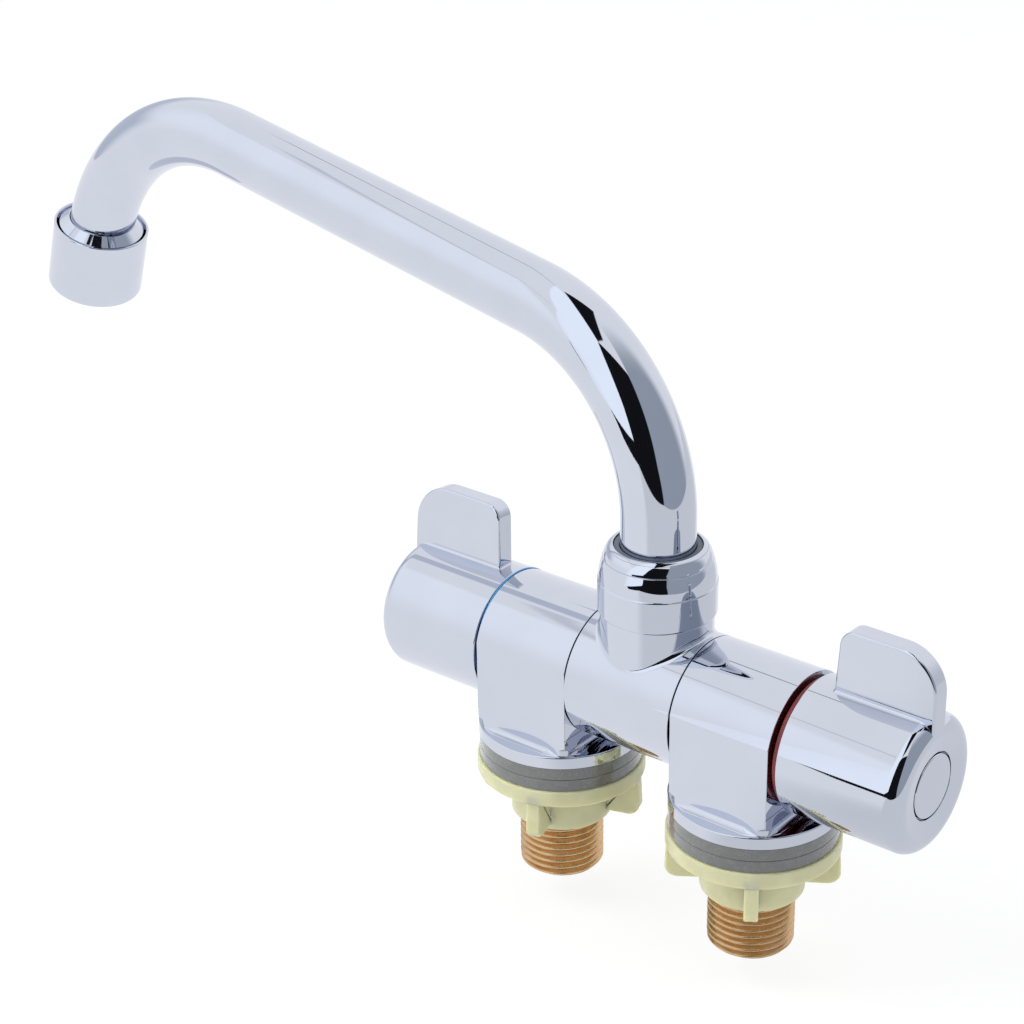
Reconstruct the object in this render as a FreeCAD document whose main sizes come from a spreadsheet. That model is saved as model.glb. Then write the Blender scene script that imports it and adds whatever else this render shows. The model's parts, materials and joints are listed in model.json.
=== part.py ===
import FreeCAD, Part
import enum
import math
import operator
import os

import Sketcher

# A two-handle swivel faucet for a caravan or boat sink, whose spout also folds down.
# Frame: millimetres, +Z up. The origin is midway between the two threaded shanks, in the
# plane of the chrome flanges' undersides. +X points to the hot side, +Y to the user.

# Driving dimensions, in millimetres, degrees and counts
DIMENSIONS = {
    # the two side bodies and what stands on the deck
    "shank_spacing": 57.3,
    "axis_height": 21.9,
    "barrel_radius": 16.65,
    "side_length": 26.8,
    "seam_gap": 0.3,
    "column_half_depth": 16.1,
    "flange_radius": 20.45,
    "flange_thickness": 3.2,
    "flange_edge_radius": 0.8,
    "corner_trim_radius": 19.8,
    "corner_trim_height": 1.6,
    "corner_trim_rise": 1.6,
    "inlet_radius": 4.5,
    # threaded shanks, G 1/2
    "thread_radius": 10.4775,
    "thread_pitch": 1.814,
    "thread_depth": 1.162,
    "thread_half_width": 0.605,
    "shank_drop": 37.6,
    "shank_bore_radius": 7.2,
    "shank_chamfer": 1.0,
    "socket_depth": 9.0,
    "thread_runout": 1.2,
    # deck washers and backnuts
    "washer_radius": 20.3,
    "washer_thickness": 3.12,
    "washer_bore_radius": 10.8,
    "nut_flange_radius": 20.9,
    "nut_flange_thickness": 4.2,
    "nut_collar_radius": 12.6,
    "nut_collar_length": 11.8,
    "wing_reach": 21.0,
    "wing_thickness": 3.4,
    "wing_drop": 10.1,
    "wing_corner_radius": 3.0,
    "wing_count": 4,
    "hot_nut_turn": 32.8,
    "cold_nut_turn": 17.6,
    # hot and cold index rings and handles
    "hot_ring_width": 2.0,
    "cold_ring_width": 0.3,
    "hot_ring_recess": 1.25,
    "cold_ring_recess": 0.5,
    "ring_inset": 3.2,
    "spigot_lip": 1.5,
    "handle_length": 31.2,
    "handle_end_radius": 3.8,
    "handle_bore_clearance": 0.6,
    "handle_bore_depth": 20.0,
    "boss_radius": 7.5,
    "boss_start": 8.0,
    "web_thickness": 2.0,
    "head_recess_depth": 2.0,
    "head_recess_radius": 3.8,
    "screw_hole_radius": 2.05,
    "button_radius": 7.75,
    "button_groove": 0.25,
    "button_thickness": 3.0,
    "button_inset": 0.9,
    "hot_tab_start": 5.6,
    "cold_tab_start": 4.0,
    "tab_lean": 1.2,
    "tab_top": 32.6,
    "tab_thickness": 5.1,
    "tab_root": 15.3,
    "tab_outer_root": 9.5,
    "tab_outer_radius": 10.0,
    "tab_inner_radius": 4.2,
    "tab_edge_radius": 0.6,
    "hot_lever_turn": 0.0,
    "cold_lever_turn": 5.0,
    # quarter-turn cartridges
    "cartridge_bore_radius": 11.0,
    "cartridge_bore_depth": 18.0,
    "cartridge_neck_radius": 7.0,
    "cartridge_neck_gap": 0.7,
    "cartridge_waist_radius": 9.6,
    "cartridge_collar_length": 2.0,
    "cartridge_waist_end": 10.0,
    "cartridge_head_end": 19.5,
    "cavity_radius": 8.5,
    "cavity_depth": 11.5,
    "window_start": 5.2,
    "window_length": 4.0,
    "window_half_width": 3.0,
    "seat_seal_thickness": 1.85,
    "seat_passage_radius": 5.5,
    "disc_thickness": 2.8,
    "disc_port_radius": 2.2,
    "disc_port_offset": 4.4,
    "foot_thickness": 2.8,
    "spindle_radius": 3.9,
    "spindle_hole_radius": 1.7,
    "spindle_hole_depth": 10.0,
    "screw_radius": 1.65,
    "screw_reach": 10.2,
    "screw_head_radius": 3.5,
    "screw_head_thickness": 1.8,
    "screw_slot_width": 0.9,
    "screw_slot_depth": 0.9,
    # centre barrel on its mixing tube
    "pivot_radius": 8.5,
    "pivot_bore_radius": 5.5,
    "pivot_entry": 6.6,
    "pivot_port_radius": 2.4,
    "pivot_port_count": 4,
    "mixing_groove_radius": 11.5,
    "mixing_groove_half_width": 4.0,
    "pivot_seal_offset": 8.0,
    "seal_groove_depth": 1.55,
    "seal_groove_width": 1.9,
    "seal_section_radius": 0.76,
    "fold_washer_radius": 12.4,
    "fold_washer_inner_radius": 9.0,
    "fold_washer_thickness": 1.7,
    "fold_washer_proud": 0.25,
    "neck_radius": 13.5,
    "neck_top": 20.6,
    "neck_thread_radius": 12.0,
    "neck_thread_length": 8.9,
    "neck_bore_radius": 9.9,
    "neck_bore_bottom": 11.6,
    "neck_passage_radius": 5.5,
    # swivel nut, its washer and guide ring
    "nut_band_radius": 14.16,
    "nut_band_height": 8.0,
    "nut_waist_radius": 13.95,
    "nut_waist_top_radius": 12.95,
    "nut_waist_height": 5.6,
    "nut_cap_radius": 12.85,
    "nut_cap_height": 3.3,
    "nut_cap_round": 2.3,
    "nut_foot_chamfer": 0.5,
    "nut_lip_thickness": 3.1,
    "nut_opening_radius": 10.45,
    "collar_flange_radius": 11.2,
    "collar_flange_thickness": 2.0,
    "collar_room": 0.3,
    "slide_washer_thickness": 0.7,
    "guide_drop": 0.5,
    # spout tube
    "tube_radius": 8.9,
    "tube_wall": 1.0,
    "tube_bottom": 44.0,
    "spout_heading": 175.57,
    "riser_top": 65.5,
    "first_bend_radius": 45.2,
    "first_bend_angle": 81.2,
    "long_run": 104.8,
    "second_bend_radius": 55.0,
    "second_bend_angle": 81.75,
    "bush_radius": 9.85,
    "bush_bore_radius": 5.5,
    "bush_seal_spacing": 4.0,
    "bush_foot": 2.6,
    # aerator at the spout's end
    "aerator_radius": 12.97,
    "aerator_length": 19.7,
    "aerator_wall": 1.4,
    "aerator_edge_radius": 1.8,
    "aerator_rim_radius": 0.4,
    "aerator_lip_radius": 9.6,
    "aerator_lip_thickness": 2.5,
    "fitting_rise": 1.8,
    "fitting_top_radius": 9.9,
    "fitting_drop": 0.35,
    "fitting_depth": 8.0,
    "fitting_bore_radius": 7.0,
    "tube_entry": 3.6,
    "fitting_clearance": 0.3,
    "aerator_washer_thickness": 1.9,
    "aerator_washer_bore_radius": 7.5,
    "screen_thickness": 0.8,
    "screen_hole_radius": 0.75,
    "screen_pitch": 2.2,
    "insert_hole_radius": 0.9,
    "insert_hole_offset": 6.0,
    "insert_hole_count": 12,
    # clearances
    "fit": 0.05,
    "face_gap": 0.05,
    "running_gap": 0.3,
    "seal_gap": 0.01,
    "disc_gap": 0.1,
}

os.makedirs("parts", exist_ok=True)
doc = FreeCAD.newDocument("SwivelFaucet")
sheet = doc.addObject("Spreadsheet::Sheet", "Sizes")
for row, (word, number) in enumerate(DIMENSIONS.items(), start=1):
    sheet.set(f"A{row}", word)
    sheet.set(f"B{row}", str(number))
    sheet.setAlias(f"B{row}", word)
doc.recompute()


class Size:
    """A size: its number now, and the spreadsheet expression that keeps a property up to date."""

    def __init__(self, number, words):
        self.number = number
        self.words = words

    def __add__(self, other):
        return combined(self, "+", other)

    def __radd__(self, other):
        return combined(other, "+", self)

    def __sub__(self, other):
        return combined(self, "-", other)

    def __rsub__(self, other):
        return combined(other, "-", self)

    def __mul__(self, other):
        return combined(self, "*", other)

    def __rmul__(self, other):
        return combined(other, "*", self)

    def __truediv__(self, other):
        return combined(self, "/", other)

    def __neg__(self):
        return Size(-self.number, f"(-{self.words})")


class Axis(enum.IntEnum):
    """A sketch's own axes, as its constraints number them."""

    HORIZONTAL = -1
    VERTICAL = -2


class Point(enum.IntEnum):
    """The points of a sketch's line, arc, circle or axis, as its constraints number them."""

    START = 1
    END = 2
    CENTRE = 3


OPERATORS = {"+": operator.add, "-": operator.sub, "*": operator.mul, "/": operator.truediv}


def sized(value):
    """The value as a Size; a plain number stays a plain number in the expression."""
    if isinstance(value, Size):
        return value
    return Size(float(value), f"({float(value)})")


def combined(left, sign, right):
    left = sized(left)
    right = sized(right)
    return Size(OPERATORS[sign](left.number, right.number), f"({left.words} {sign} {right.words})")


def sine(angle):
    angle = sized(angle)
    return Size(math.sin(math.radians(angle.number)), f"sin({angle.words})")


def cosine(angle):
    angle = sized(angle)
    return Size(math.cos(math.radians(angle.number)), f"cos({angle.words})")


def whole(size):
    """The size rounded down to a whole number, for a count."""
    return Size(math.floor(size.number), f"floor({size.words})")


class Dimensions:
    """The spreadsheet's cells, by their aliases."""

    def __getattr__(self, word):
        return Size(float(sheet.get(word)), f"Sizes.{word}")


dim = Dimensions()
X_DIRECTION = FreeCAD.Vector(1, 0, 0)
Y_DIRECTION = FreeCAD.Vector(0, 1, 0)
Z_DIRECTION = FreeCAD.Vector(0, 0, 1)
SIDES = (("hot", 1), ("cold", -1))
# Circles of holes in the aerator's screen: the number of pitches out, and the holes in the circle
SCREEN_CIRCLES = ((1, 6), (2, 12), (3, 18))
# How far a cutting outline runs past the metal that it cuts, or an added one into it
OVERRUN = 1.0
sub_parts = []


def bind(target, name, size):
    """Sets a property of a document object and binds it to the spreadsheet."""
    size = sized(size)
    setattr(target, name, size.number)
    target.setExpression(name, size.words)


def place(piece, x=0, y=0, z=0, axis=Z_DIRECTION, turn=0):
    """Puts a finished piece where it belongs and lists it as a sub-part."""
    spots = {"x": sized(x), "y": sized(y), "z": sized(z)}
    turn = sized(turn)
    base = FreeCAD.Vector(spots["x"].number, spots["y"].number, spots["z"].number)
    piece.Placement = FreeCAD.Placement(base, FreeCAD.Rotation(axis, turn.number))
    for letter, spot in spots.items():
        piece.setExpression(f"Placement.Base.{letter}", spot.words)
    piece.setExpression("Placement.Rotation.Angle", turn.words)
    sub_parts.append(piece)


def new_body(label):
    body = doc.addObject("PartDesign::Body", label)
    body.Label = label
    return body


def origin_feature(body, role):
    return next(feature for feature in body.Origin.OriginFeatures if feature.Role == role)


def new_sketch(body, name, role, height=0):
    """A sketch on one of the body's own planes, raised along that plane's normal."""
    sketch = body.newObject("Sketcher::SketchObject", f"{body.Label}_{name}")
    sketch.AttachmentSupport = (origin_feature(body, role), [""])
    sketch.MapMode = "FlatFace"
    height = sized(height)
    sketch.AttachmentOffset = FreeCAD.Placement(FreeCAD.Vector(0, 0, height.number), FreeCAD.Rotation())
    sketch.setExpression("AttachmentOffset.Base.z", height.words)
    return sketch


def fix_point(sketch, geometry, point, across, up):
    """Holds a sketch point at two distances from the sketch's origin."""
    for kind, axis, distance in (("DistanceX", Axis.VERTICAL, across), ("DistanceY", Axis.HORIZONTAL, up)):
        distance = sized(distance)
        if "Sizes." not in distance.words and distance.number == 0:
            sketch.addConstraint(Sketcher.Constraint("PointOnObject", geometry, point, axis))
        else:
            origin = (Axis.HORIZONTAL, Point.START)
            held = Sketcher.Constraint(kind, *origin, geometry, point, distance.number)
            index = sketch.addConstraint(held)
            sketch.setExpression(f"Constraints[{index}]", distance.words)


def draw_outline(sketch, corners):
    """A closed outline of straight lines through the corners, each a pair of sizes."""
    spots = [FreeCAD.Vector(sized(across).number, sized(up).number, 0) for across, up in corners]
    lines = []
    for here, there in zip(spots, spots[1:] + spots[:1]):
        lines.append(sketch.addGeometry(Part.LineSegment(here, there), False))
    for line, following in zip(lines, lines[1:] + lines[:1]):
        meeting = Sketcher.Constraint("Coincident", line, Point.END, following, Point.START)
        sketch.addConstraint(meeting)
    for line, (across, up) in zip(lines, corners):
        fix_point(sketch, line, Point.START, across, up)


def draw_circle(sketch, across, up, radius):
    radius = sized(radius)
    centre = FreeCAD.Vector(sized(across).number, sized(up).number, 0)
    circle = sketch.addGeometry(Part.Circle(centre, Z_DIRECTION, radius.number), False)
    fix_point(sketch, circle, Point.CENTRE, across, up)
    index = sketch.addConstraint(Sketcher.Constraint("Radius", circle, radius.number))
    sketch.setExpression(f"Constraints[{index}]", radius.words)


def rectangle(left, bottom, right, top):
    return [(left, bottom), (right, bottom), (right, top), (left, top)]


def add_feature(body, kind, name, sketch):
    feature = body.newObject(f"PartDesign::{kind}", f"{body.Label}_{name}")
    feature.Profile = sketch
    return feature


def turned(body, name, corners, axis="H_Axis", kind="Revolution"):
    """Turns an outline in the body's XZ plane about the sketch's horizontal or vertical axis."""
    sketch = new_sketch(body, f"{name}_outline", "XZ_Plane")
    draw_outline(sketch, corners)
    before = volume(body)
    feature = add_feature(body, kind, name, sketch)
    feature.ReferenceAxis = (sketch, [axis])
    feature.Angle = 360
    check_change(body, before, kind == "Groove")
    return feature


def padded(body, name, sketch, length, symmetric=False, flipped=False, kind="Pad"):
    """Pads or pockets a sketch by a length, to one side of it or half to each side."""
    before = volume(body)
    feature = add_feature(body, kind, name, sketch)
    bind(feature, "Length", length)
    if symmetric:
        feature.SideType = "Symmetric"
    feature.Reversed = flipped
    check_change(body, before, kind == "Pocket")
    return feature


def volume(body):
    if body.Tip is None:
        return 0
    doc.recompute()
    return body.Shape.Volume


def check_change(body, before, cuts):
    """A cut must take something away, and an addition must add something."""
    after = volume(body)
    if (after >= before) if cuts else (after <= before):
        raise RuntimeError(f"{body.Label}: {body.Tip.Name} changed the volume from {before} to {after}")


def rounded(body, name, radius, wanted):
    """Rounds those edges of the body that the test picks out."""
    doc.recompute()
    last = body.Tip
    names = [f"Edge{number}" for number, edge in enumerate(last.Shape.Edges, start=1) if wanted(edge)]
    if not names:
        raise RuntimeError(f"{body.Label}: no edge for {name}")
    feature = body.newObject("PartDesign::Fillet", f"{body.Label}_{name}")
    feature.Base = (last, names)
    bind(feature, "Radius", radius)
    return feature


def near(first, second):
    return abs(first - second) < 1e-4


def circle_at(radius, along, position):
    """A test for round edges of one radius, centred at one position along the X or Z axis."""
    radius = sized(radius).number
    position = sized(position).number

    def test(edge):
        curve = edge.Curve
        round_edge = curve.TypeId == "Part::GeomCircle"
        return round_edge and near(curve.Radius, radius) and near(getattr(curve.Center, along), position)

    return test


def straight_at(**places):
    """A test for straight edges whose two ends share the given sizes, signs of x and y left out."""
    places = {letter: abs(sized(place).number) for letter, place in places.items()}

    def at_places(point):
        return all(near(abs(getattr(point, letter)), place) for letter, place in places.items())

    def test(edge):
        straight = edge.Curve.TypeId == "Part::GeomLine"
        return straight and all(at_places(vertex.Point) for vertex in edge.Vertexes)

    return test


def bind_count(pattern, count):
    pattern.Occurrences = int(count.number)
    pattern.setExpression("Occurrences", count.words)


def around(body, name, feature, count, axis="Z_Axis"):
    """Repeats a feature evenly round one of the body's axes."""
    pattern = body.newObject("PartDesign::PolarPattern", f"{body.Label}_{name}")
    pattern.Originals = [feature]
    pattern.Axis = (origin_feature(body, axis), [""])
    pattern.Angle = 360
    bind_count(pattern, count)
    body.Tip = pattern


def ring_along(label, inner, outer, length):
    """A plain ring along its own Z axis."""
    hull = doc.addObject("Part::Cylinder", f"{label}_outside")
    bind(hull, "Radius", outer)
    bind(hull, "Height", length)
    hole = doc.addObject("Part::Cylinder", f"{label}_inside")
    bind(hole, "Radius", inner)
    bind(hole, "Height", length)
    ring = doc.addObject("Part::Cut", label)
    ring.Label = label
    ring.Base = hull
    ring.Tool = hole
    return ring


def o_ring(label, centre_radius):
    """A rubber ring of the common section, round its own Z axis."""
    torus = doc.addObject("Part::Torus", label)
    torus.Label = label
    bind(torus, "Radius1", centre_radius)
    bind(torus, "Radius2", dim.seal_section_radius)
    return torus


# Shared radii about the barrel's X axis
ring_bore_radius = dim.barrel_radius - dim.ring_inset
spigot_radius = ring_bore_radius - dim.fit
handle_bore_radius = spigot_radius + dim.handle_bore_clearance

# Shared places along the barrel's X axis, from the middle plane outwards
side_centre = dim.shank_spacing / 2
seam_x = side_centre - dim.side_length / 2
body_end_x = side_centre + dim.side_length / 2
centre_half_length = seam_x - dim.seam_gap
cartridge_x = body_end_x - dim.cartridge_bore_depth
ring_width = {"hot": dim.hot_ring_width, "cold": dim.cold_ring_width}
ring_recess = {"hot": dim.hot_ring_recess, "cold": dim.cold_ring_recess}
tab_start = {"hot": dim.hot_tab_start, "cold": dim.cold_tab_start}
lever_turn = {"hot": dim.hot_lever_turn, "cold": dim.cold_lever_turn}
nut_turn = {"hot": dim.hot_nut_turn, "cold": dim.cold_nut_turn}


def handle_x(side):
    return body_end_x + ring_width[side] + dim.running_gap


# Shared heights on the vertical shank axis
socket_radius = dim.thread_radius + dim.fit
clamp_top = -(dim.washer_thickness + dim.face_gap)
nut_top = clamp_top - dim.washer_thickness - dim.face_gap

# Shared heights on the spout's axis, over the barrel axis
spigot_top = dim.neck_top + dim.neck_thread_length
flange_bottom = spigot_top + dim.slide_washer_thickness + 2 * dim.face_gap
flange_top = flange_bottom + dim.collar_flange_thickness
swivel_nut_bottom = dim.neck_top + dim.face_gap
swivel_nut_top = swivel_nut_bottom + dim.nut_band_height + dim.nut_waist_height + dim.nut_cap_height
lip_bottom = swivel_nut_top - dim.nut_lip_thickness


def make_side_body(side, sign):
    """Cast side body: a barrel over a box column with flat front and back, on a round flange.

    Local origin: on the barrel axis over the shank. Local +X points outwards.
    """
    body = new_body(f"{side}_body")
    half = dim.side_length / 2
    deck = -dim.axis_height
    flange = new_sketch(body, "flange_outline", "XY_Plane", deck)
    draw_circle(flange, 0, 0, dim.flange_radius)
    padded(body, "flange", flange, dim.flange_thickness)
    rim = circle_at(dim.flange_radius, "z", deck + dim.flange_thickness)
    rounded(body, "flange_rim", dim.flange_edge_radius, rim)
    column = new_sketch(body, "column_outline", "XY_Plane", deck)
    draw_outline(column, rectangle(-half, -dim.column_half_depth, half, dim.column_half_depth))
    padded(body, "column", column, dim.axis_height)
    trim_bottom = deck + dim.flange_thickness
    trim_top = trim_bottom + dim.corner_trim_height
    reach = dim.flange_radius + dim.barrel_radius
    cone_rise = dim.corner_trim_rise
    turned(body, "corner_trim", [
        (dim.corner_trim_radius, trim_bottom),
        (dim.corner_trim_radius, trim_top),
        (dim.corner_trim_radius + cone_rise, trim_top + cone_rise),
        (reach, trim_top + cone_rise),
        (reach, trim_bottom),
    ], "V_Axis", "Groove")
    barrel = new_sketch(body, "barrel_outline", "YZ_Plane")
    draw_circle(barrel, 0, 0, dim.barrel_radius)
    padded(body, "barrel", barrel, dim.side_length, symmetric=True)
    flats = new_sketch(body, "flats_outline", "YZ_Plane")
    beyond = dim.barrel_radius + OVERRUN
    draw_outline(flats, rectangle(dim.column_half_depth, -dim.barrel_radius, beyond, beyond))
    draw_outline(flats, rectangle(-beyond, -dim.barrel_radius, -dim.column_half_depth, beyond))
    padded(body, "flats", flats, dim.side_length + OVERRUN, symmetric=True, kind="Pocket")
    spigot_end = half + ring_width[side] + dim.spigot_lip
    turned(body, "spigot", rectangle(half - OVERRUN, 0, spigot_end, spigot_radius))
    tube_end = dim.pivot_entry - half
    washer_bottom = dim.fold_washer_thickness - dim.fold_washer_proud - half
    bore_bottom = half - dim.cartridge_bore_depth
    turned(body, "barrel_bores", [
        (-half, 0),
        (-half, dim.fold_washer_radius + dim.fit),
        (washer_bottom, dim.fold_washer_radius + dim.fit),
        (washer_bottom, dim.pivot_radius + dim.fit),
        (tube_end, dim.pivot_radius + dim.fit),
        (tube_end, dim.seat_passage_radius),
        (bore_bottom, dim.seat_passage_radius),
        (bore_bottom, dim.cartridge_bore_radius),
        (spigot_end, dim.cartridge_bore_radius),
        (spigot_end, 0),
    ], "H_Axis", "Groove")
    turned(body, "inlet", [
        (0, deck),
        (socket_radius, deck),
        (socket_radius, deck + dim.socket_depth),
        (dim.inlet_radius, deck + dim.socket_depth),
        (dim.inlet_radius, -dim.cavity_radius),
        (0, -dim.cavity_radius),
    ], "V_Axis", "Groove")
    place(body, sign * side_centre, 0, dim.axis_height, turn=90 - 90 * sign)


def make_shank(side, sign):
    """Threaded brass shank, screwed into the side body from below.

    Local origin: where the shank's axis crosses the plane of the flange's underside.
    """
    body = new_body(f"{side}_shank")
    top = dim.socket_depth - dim.running_gap
    turned(body, "tube", [
        (dim.shank_bore_radius, -dim.shank_drop),
        (dim.thread_radius - dim.shank_chamfer, -dim.shank_drop),
        (dim.thread_radius, dim.shank_chamfer - dim.shank_drop),
        (dim.thread_radius, top),
        (dim.shank_bore_radius, top),
    ], "V_Axis")
    middle = dim.thread_runout + dim.thread_half_width - dim.shank_drop
    outside = dim.thread_radius + OVERRUN
    groove = turned(body, "thread", [
        (dim.thread_radius - dim.thread_depth, middle),
        (dim.thread_radius, middle + dim.thread_half_width),
        (outside, middle + dim.thread_half_width),
        (outside, middle - dim.thread_half_width),
        (dim.thread_radius, middle - dim.thread_half_width),
    ], "V_Axis", "Groove")
    threaded = dim.shank_drop - 2 * dim.thread_runout
    steps = whole(threaded / dim.thread_pitch)
    pattern = body.newObject("PartDesign::LinearPattern", f"{body.Label}_thread_turns")
    pattern.Originals = [groove]
    pattern.Direction = (origin_feature(body, "Z_Axis"), [""])
    bind(pattern, "Length", steps * dim.thread_pitch)
    pattern.Occurrences = int(steps.number) + 1
    pattern.setExpression("Occurrences", (steps + 1).words)
    body.Tip = pattern
    place(body, sign * side_centre)


def make_deck_washers(side, sign):
    """Two rubber washers round the shank: one stays under the flange, one rides on the backnut."""
    thickness = dim.washer_thickness
    for label, top in (("deck_washer", sized(0)), ("clamp_washer", clamp_top)):
        washer = ring_along(f"{side}_{label}", dim.washer_bore_radius, dim.washer_radius, thickness)
        place(washer, sign * side_centre, 0, top - thickness)


def make_backnut(side, sign):
    """Plastic backnut: a wide flange, a collar and finger wings. Local origin: flange top on its axis."""
    body = new_body(f"{side}_backnut")
    collar_bottom = -(dim.nut_flange_thickness + dim.nut_collar_length)
    wing_bottom = -(dim.nut_flange_thickness + dim.wing_drop)
    turned(body, "collar", [
        (dim.thread_radius + dim.fit, 0),
        (dim.nut_flange_radius, 0),
        (dim.nut_flange_radius, -dim.nut_flange_thickness),
        (dim.nut_collar_radius, -dim.nut_flange_thickness),
        (dim.nut_collar_radius, collar_bottom),
        (dim.thread_radius + dim.fit, collar_bottom),
    ], "V_Axis")
    wing = new_sketch(body, "wing_outline", "XZ_Plane")
    wing_top = -dim.nut_flange_thickness / 2
    inside = (dim.nut_collar_radius + dim.thread_radius) / 2
    draw_outline(wing, rectangle(inside, wing_bottom, dim.wing_reach, wing_top))
    pad = padded(body, "wing", wing, dim.wing_thickness, symmetric=True)
    around(body, "wings", pad, dim.wing_count)
    lowest = wing_bottom.number
    far = math.hypot(dim.wing_reach.number, dim.wing_thickness.number / 2)

    def outer_corner(edge):
        ends = [vertex.Point for vertex in edge.Vertexes]
        low = all(near(end.z, lowest) for end in ends)
        return low and all(near(math.hypot(end.x, end.y), far) for end in ends)

    rounded(body, "wing_corners", dim.wing_corner_radius, outer_corner)
    place(body, sign * side_centre, 0, nut_top, turn=nut_turn[side])


def make_index_ring(side, sign):
    """Coloured plastic ring on the body's spigot, between the body and the handle."""
    ring_radius = dim.barrel_radius - ring_recess[side]
    ring = ring_along(f"{side}_index_ring", ring_bore_radius, ring_radius, ring_width[side])
    place(ring, sign * body_end_x, 0, dim.axis_height, Y_DIRECTION, 90 * sign)


def make_cartridge(side, sign):
    """Quarter-turn cartridge: housing, seat seal and the fixed ceramic disc.

    Local origin: on the barrel axis at the bottom of the cartridge bore. Local +X points outwards.
    """
    neck_end = handle_x(side) - cartridge_x + dim.boss_start - dim.cartridge_neck_gap
    outer = dim.cartridge_bore_radius - dim.fit
    housing = new_body(f"{side}_cartridge_housing")
    turned(housing, "shell", [
        (dim.face_gap, dim.cavity_radius),
        (dim.face_gap, outer),
        (dim.cartridge_collar_length, outer),
        (dim.cartridge_collar_length, dim.cartridge_waist_radius),
        (dim.cartridge_waist_end, dim.cartridge_waist_radius),
        (dim.cartridge_waist_end, outer),
        (dim.cartridge_head_end, outer),
        (dim.cartridge_head_end, dim.cartridge_neck_radius),
        (neck_end, dim.cartridge_neck_radius),
        (neck_end, dim.spindle_radius + dim.fit),
        (dim.cavity_depth, dim.spindle_radius + dim.fit),
        (dim.cavity_depth, dim.cavity_radius),
    ])
    windows = new_sketch(housing, "window_outline", "XY_Plane")
    half_width = dim.window_half_width
    window_end = dim.window_start + dim.window_length
    draw_outline(windows, rectangle(dim.window_start, -half_width, window_end, half_width))
    padded(housing, "windows", windows, 2 * outer, symmetric=True, kind="Pocket")
    place(housing, sign * cartridge_x, 0, dim.axis_height, turn=90 - 90 * sign)
    seal_radius = dim.cavity_radius - dim.disc_gap
    seal = ring_along(f"{side}_seat_seal", dim.seat_passage_radius, seal_radius, dim.seat_seal_thickness)
    place(seal, sign * (cartridge_x + dim.face_gap), 0, dim.axis_height, Y_DIRECTION, 90 * sign)
    disc = new_body(f"{side}_fixed_disc")
    draw_disc(disc, dim.cavity_radius - dim.disc_gap)
    place(disc, sign * (cartridge_x + fixed_disc_start()), 0, dim.axis_height, Y_DIRECTION, 90 * sign)


def fixed_disc_start():
    return dim.seat_seal_thickness + 2 * dim.face_gap


def moving_disc_start():
    return fixed_disc_start() + dim.disc_thickness + dim.face_gap


def draw_disc(body, radius):
    """Ceramic disc with two opposite ports."""
    face = new_sketch(body, "face", "XY_Plane")
    draw_circle(face, 0, 0, radius)
    padded(body, "disc", face, dim.disc_thickness)
    ports = new_sketch(body, "port_outlines", "XY_Plane")
    draw_circle(ports, dim.disc_port_offset, 0, dim.disc_port_radius)
    draw_circle(ports, -dim.disc_port_offset, 0, dim.disc_port_radius)
    padded(body, "ports", ports, dim.disc_thickness, flipped=True, kind="Pocket")


def make_handle(side, sign):
    """Lever handle: a hollow barrel with a rounded outer end, and an upright tab flush with that end.

    Local origin: on the barrel axis at the handle's inner face. Local +X points outwards.
    """
    length = dim.handle_length
    body = new_body(f"{side}_handle_barrel")
    recess = length - dim.button_inset - dim.button_thickness
    head_seat = recess - dim.head_recess_depth
    web = head_seat - dim.web_thickness
    spline = dim.spindle_radius + dim.fit
    turned(body, "barrel", [
        (0, handle_bore_radius),
        (0, dim.barrel_radius),
        (length, dim.barrel_radius),
        (length, dim.button_radius + dim.button_groove),
        (recess, dim.button_radius + dim.button_groove),
        (recess, dim.head_recess_radius),
        (head_seat, dim.head_recess_radius),
        (head_seat, dim.screw_hole_radius),
        (web, dim.screw_hole_radius),
        (web, spline),
        (dim.boss_start, spline),
        (dim.boss_start, dim.boss_radius),
        (dim.handle_bore_depth, dim.boss_radius),
        (dim.handle_bore_depth, handle_bore_radius),
    ])
    rounded(body, "end", dim.handle_end_radius, circle_at(dim.barrel_radius, "x", length))
    handle = doc.addObject("Part::Fuse", f"{side}_handle")
    handle.Label = handle.Name
    handle.Base = body
    handle.Tool = make_tab(side, sign)
    handle.Refine = True
    place(handle, sign * handle_x(side), 0, dim.axis_height, turn=90 - 90 * sign)
    button = doc.addObject("Part::Cylinder", f"{side}_index_button")
    button.Label = button.Name
    bind(button, "Radius", dim.button_radius)
    bind(button, "Height", dim.button_thickness)
    place(button, sign * (handle_x(side) + recess), 0, dim.axis_height, Y_DIRECTION, 90 * sign)
    make_handle_screw(side, sign, handle_x(side) + head_seat)
    make_spindle(side, sign, handle_x(side) + web - dim.running_gap - cartridge_x)


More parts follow.
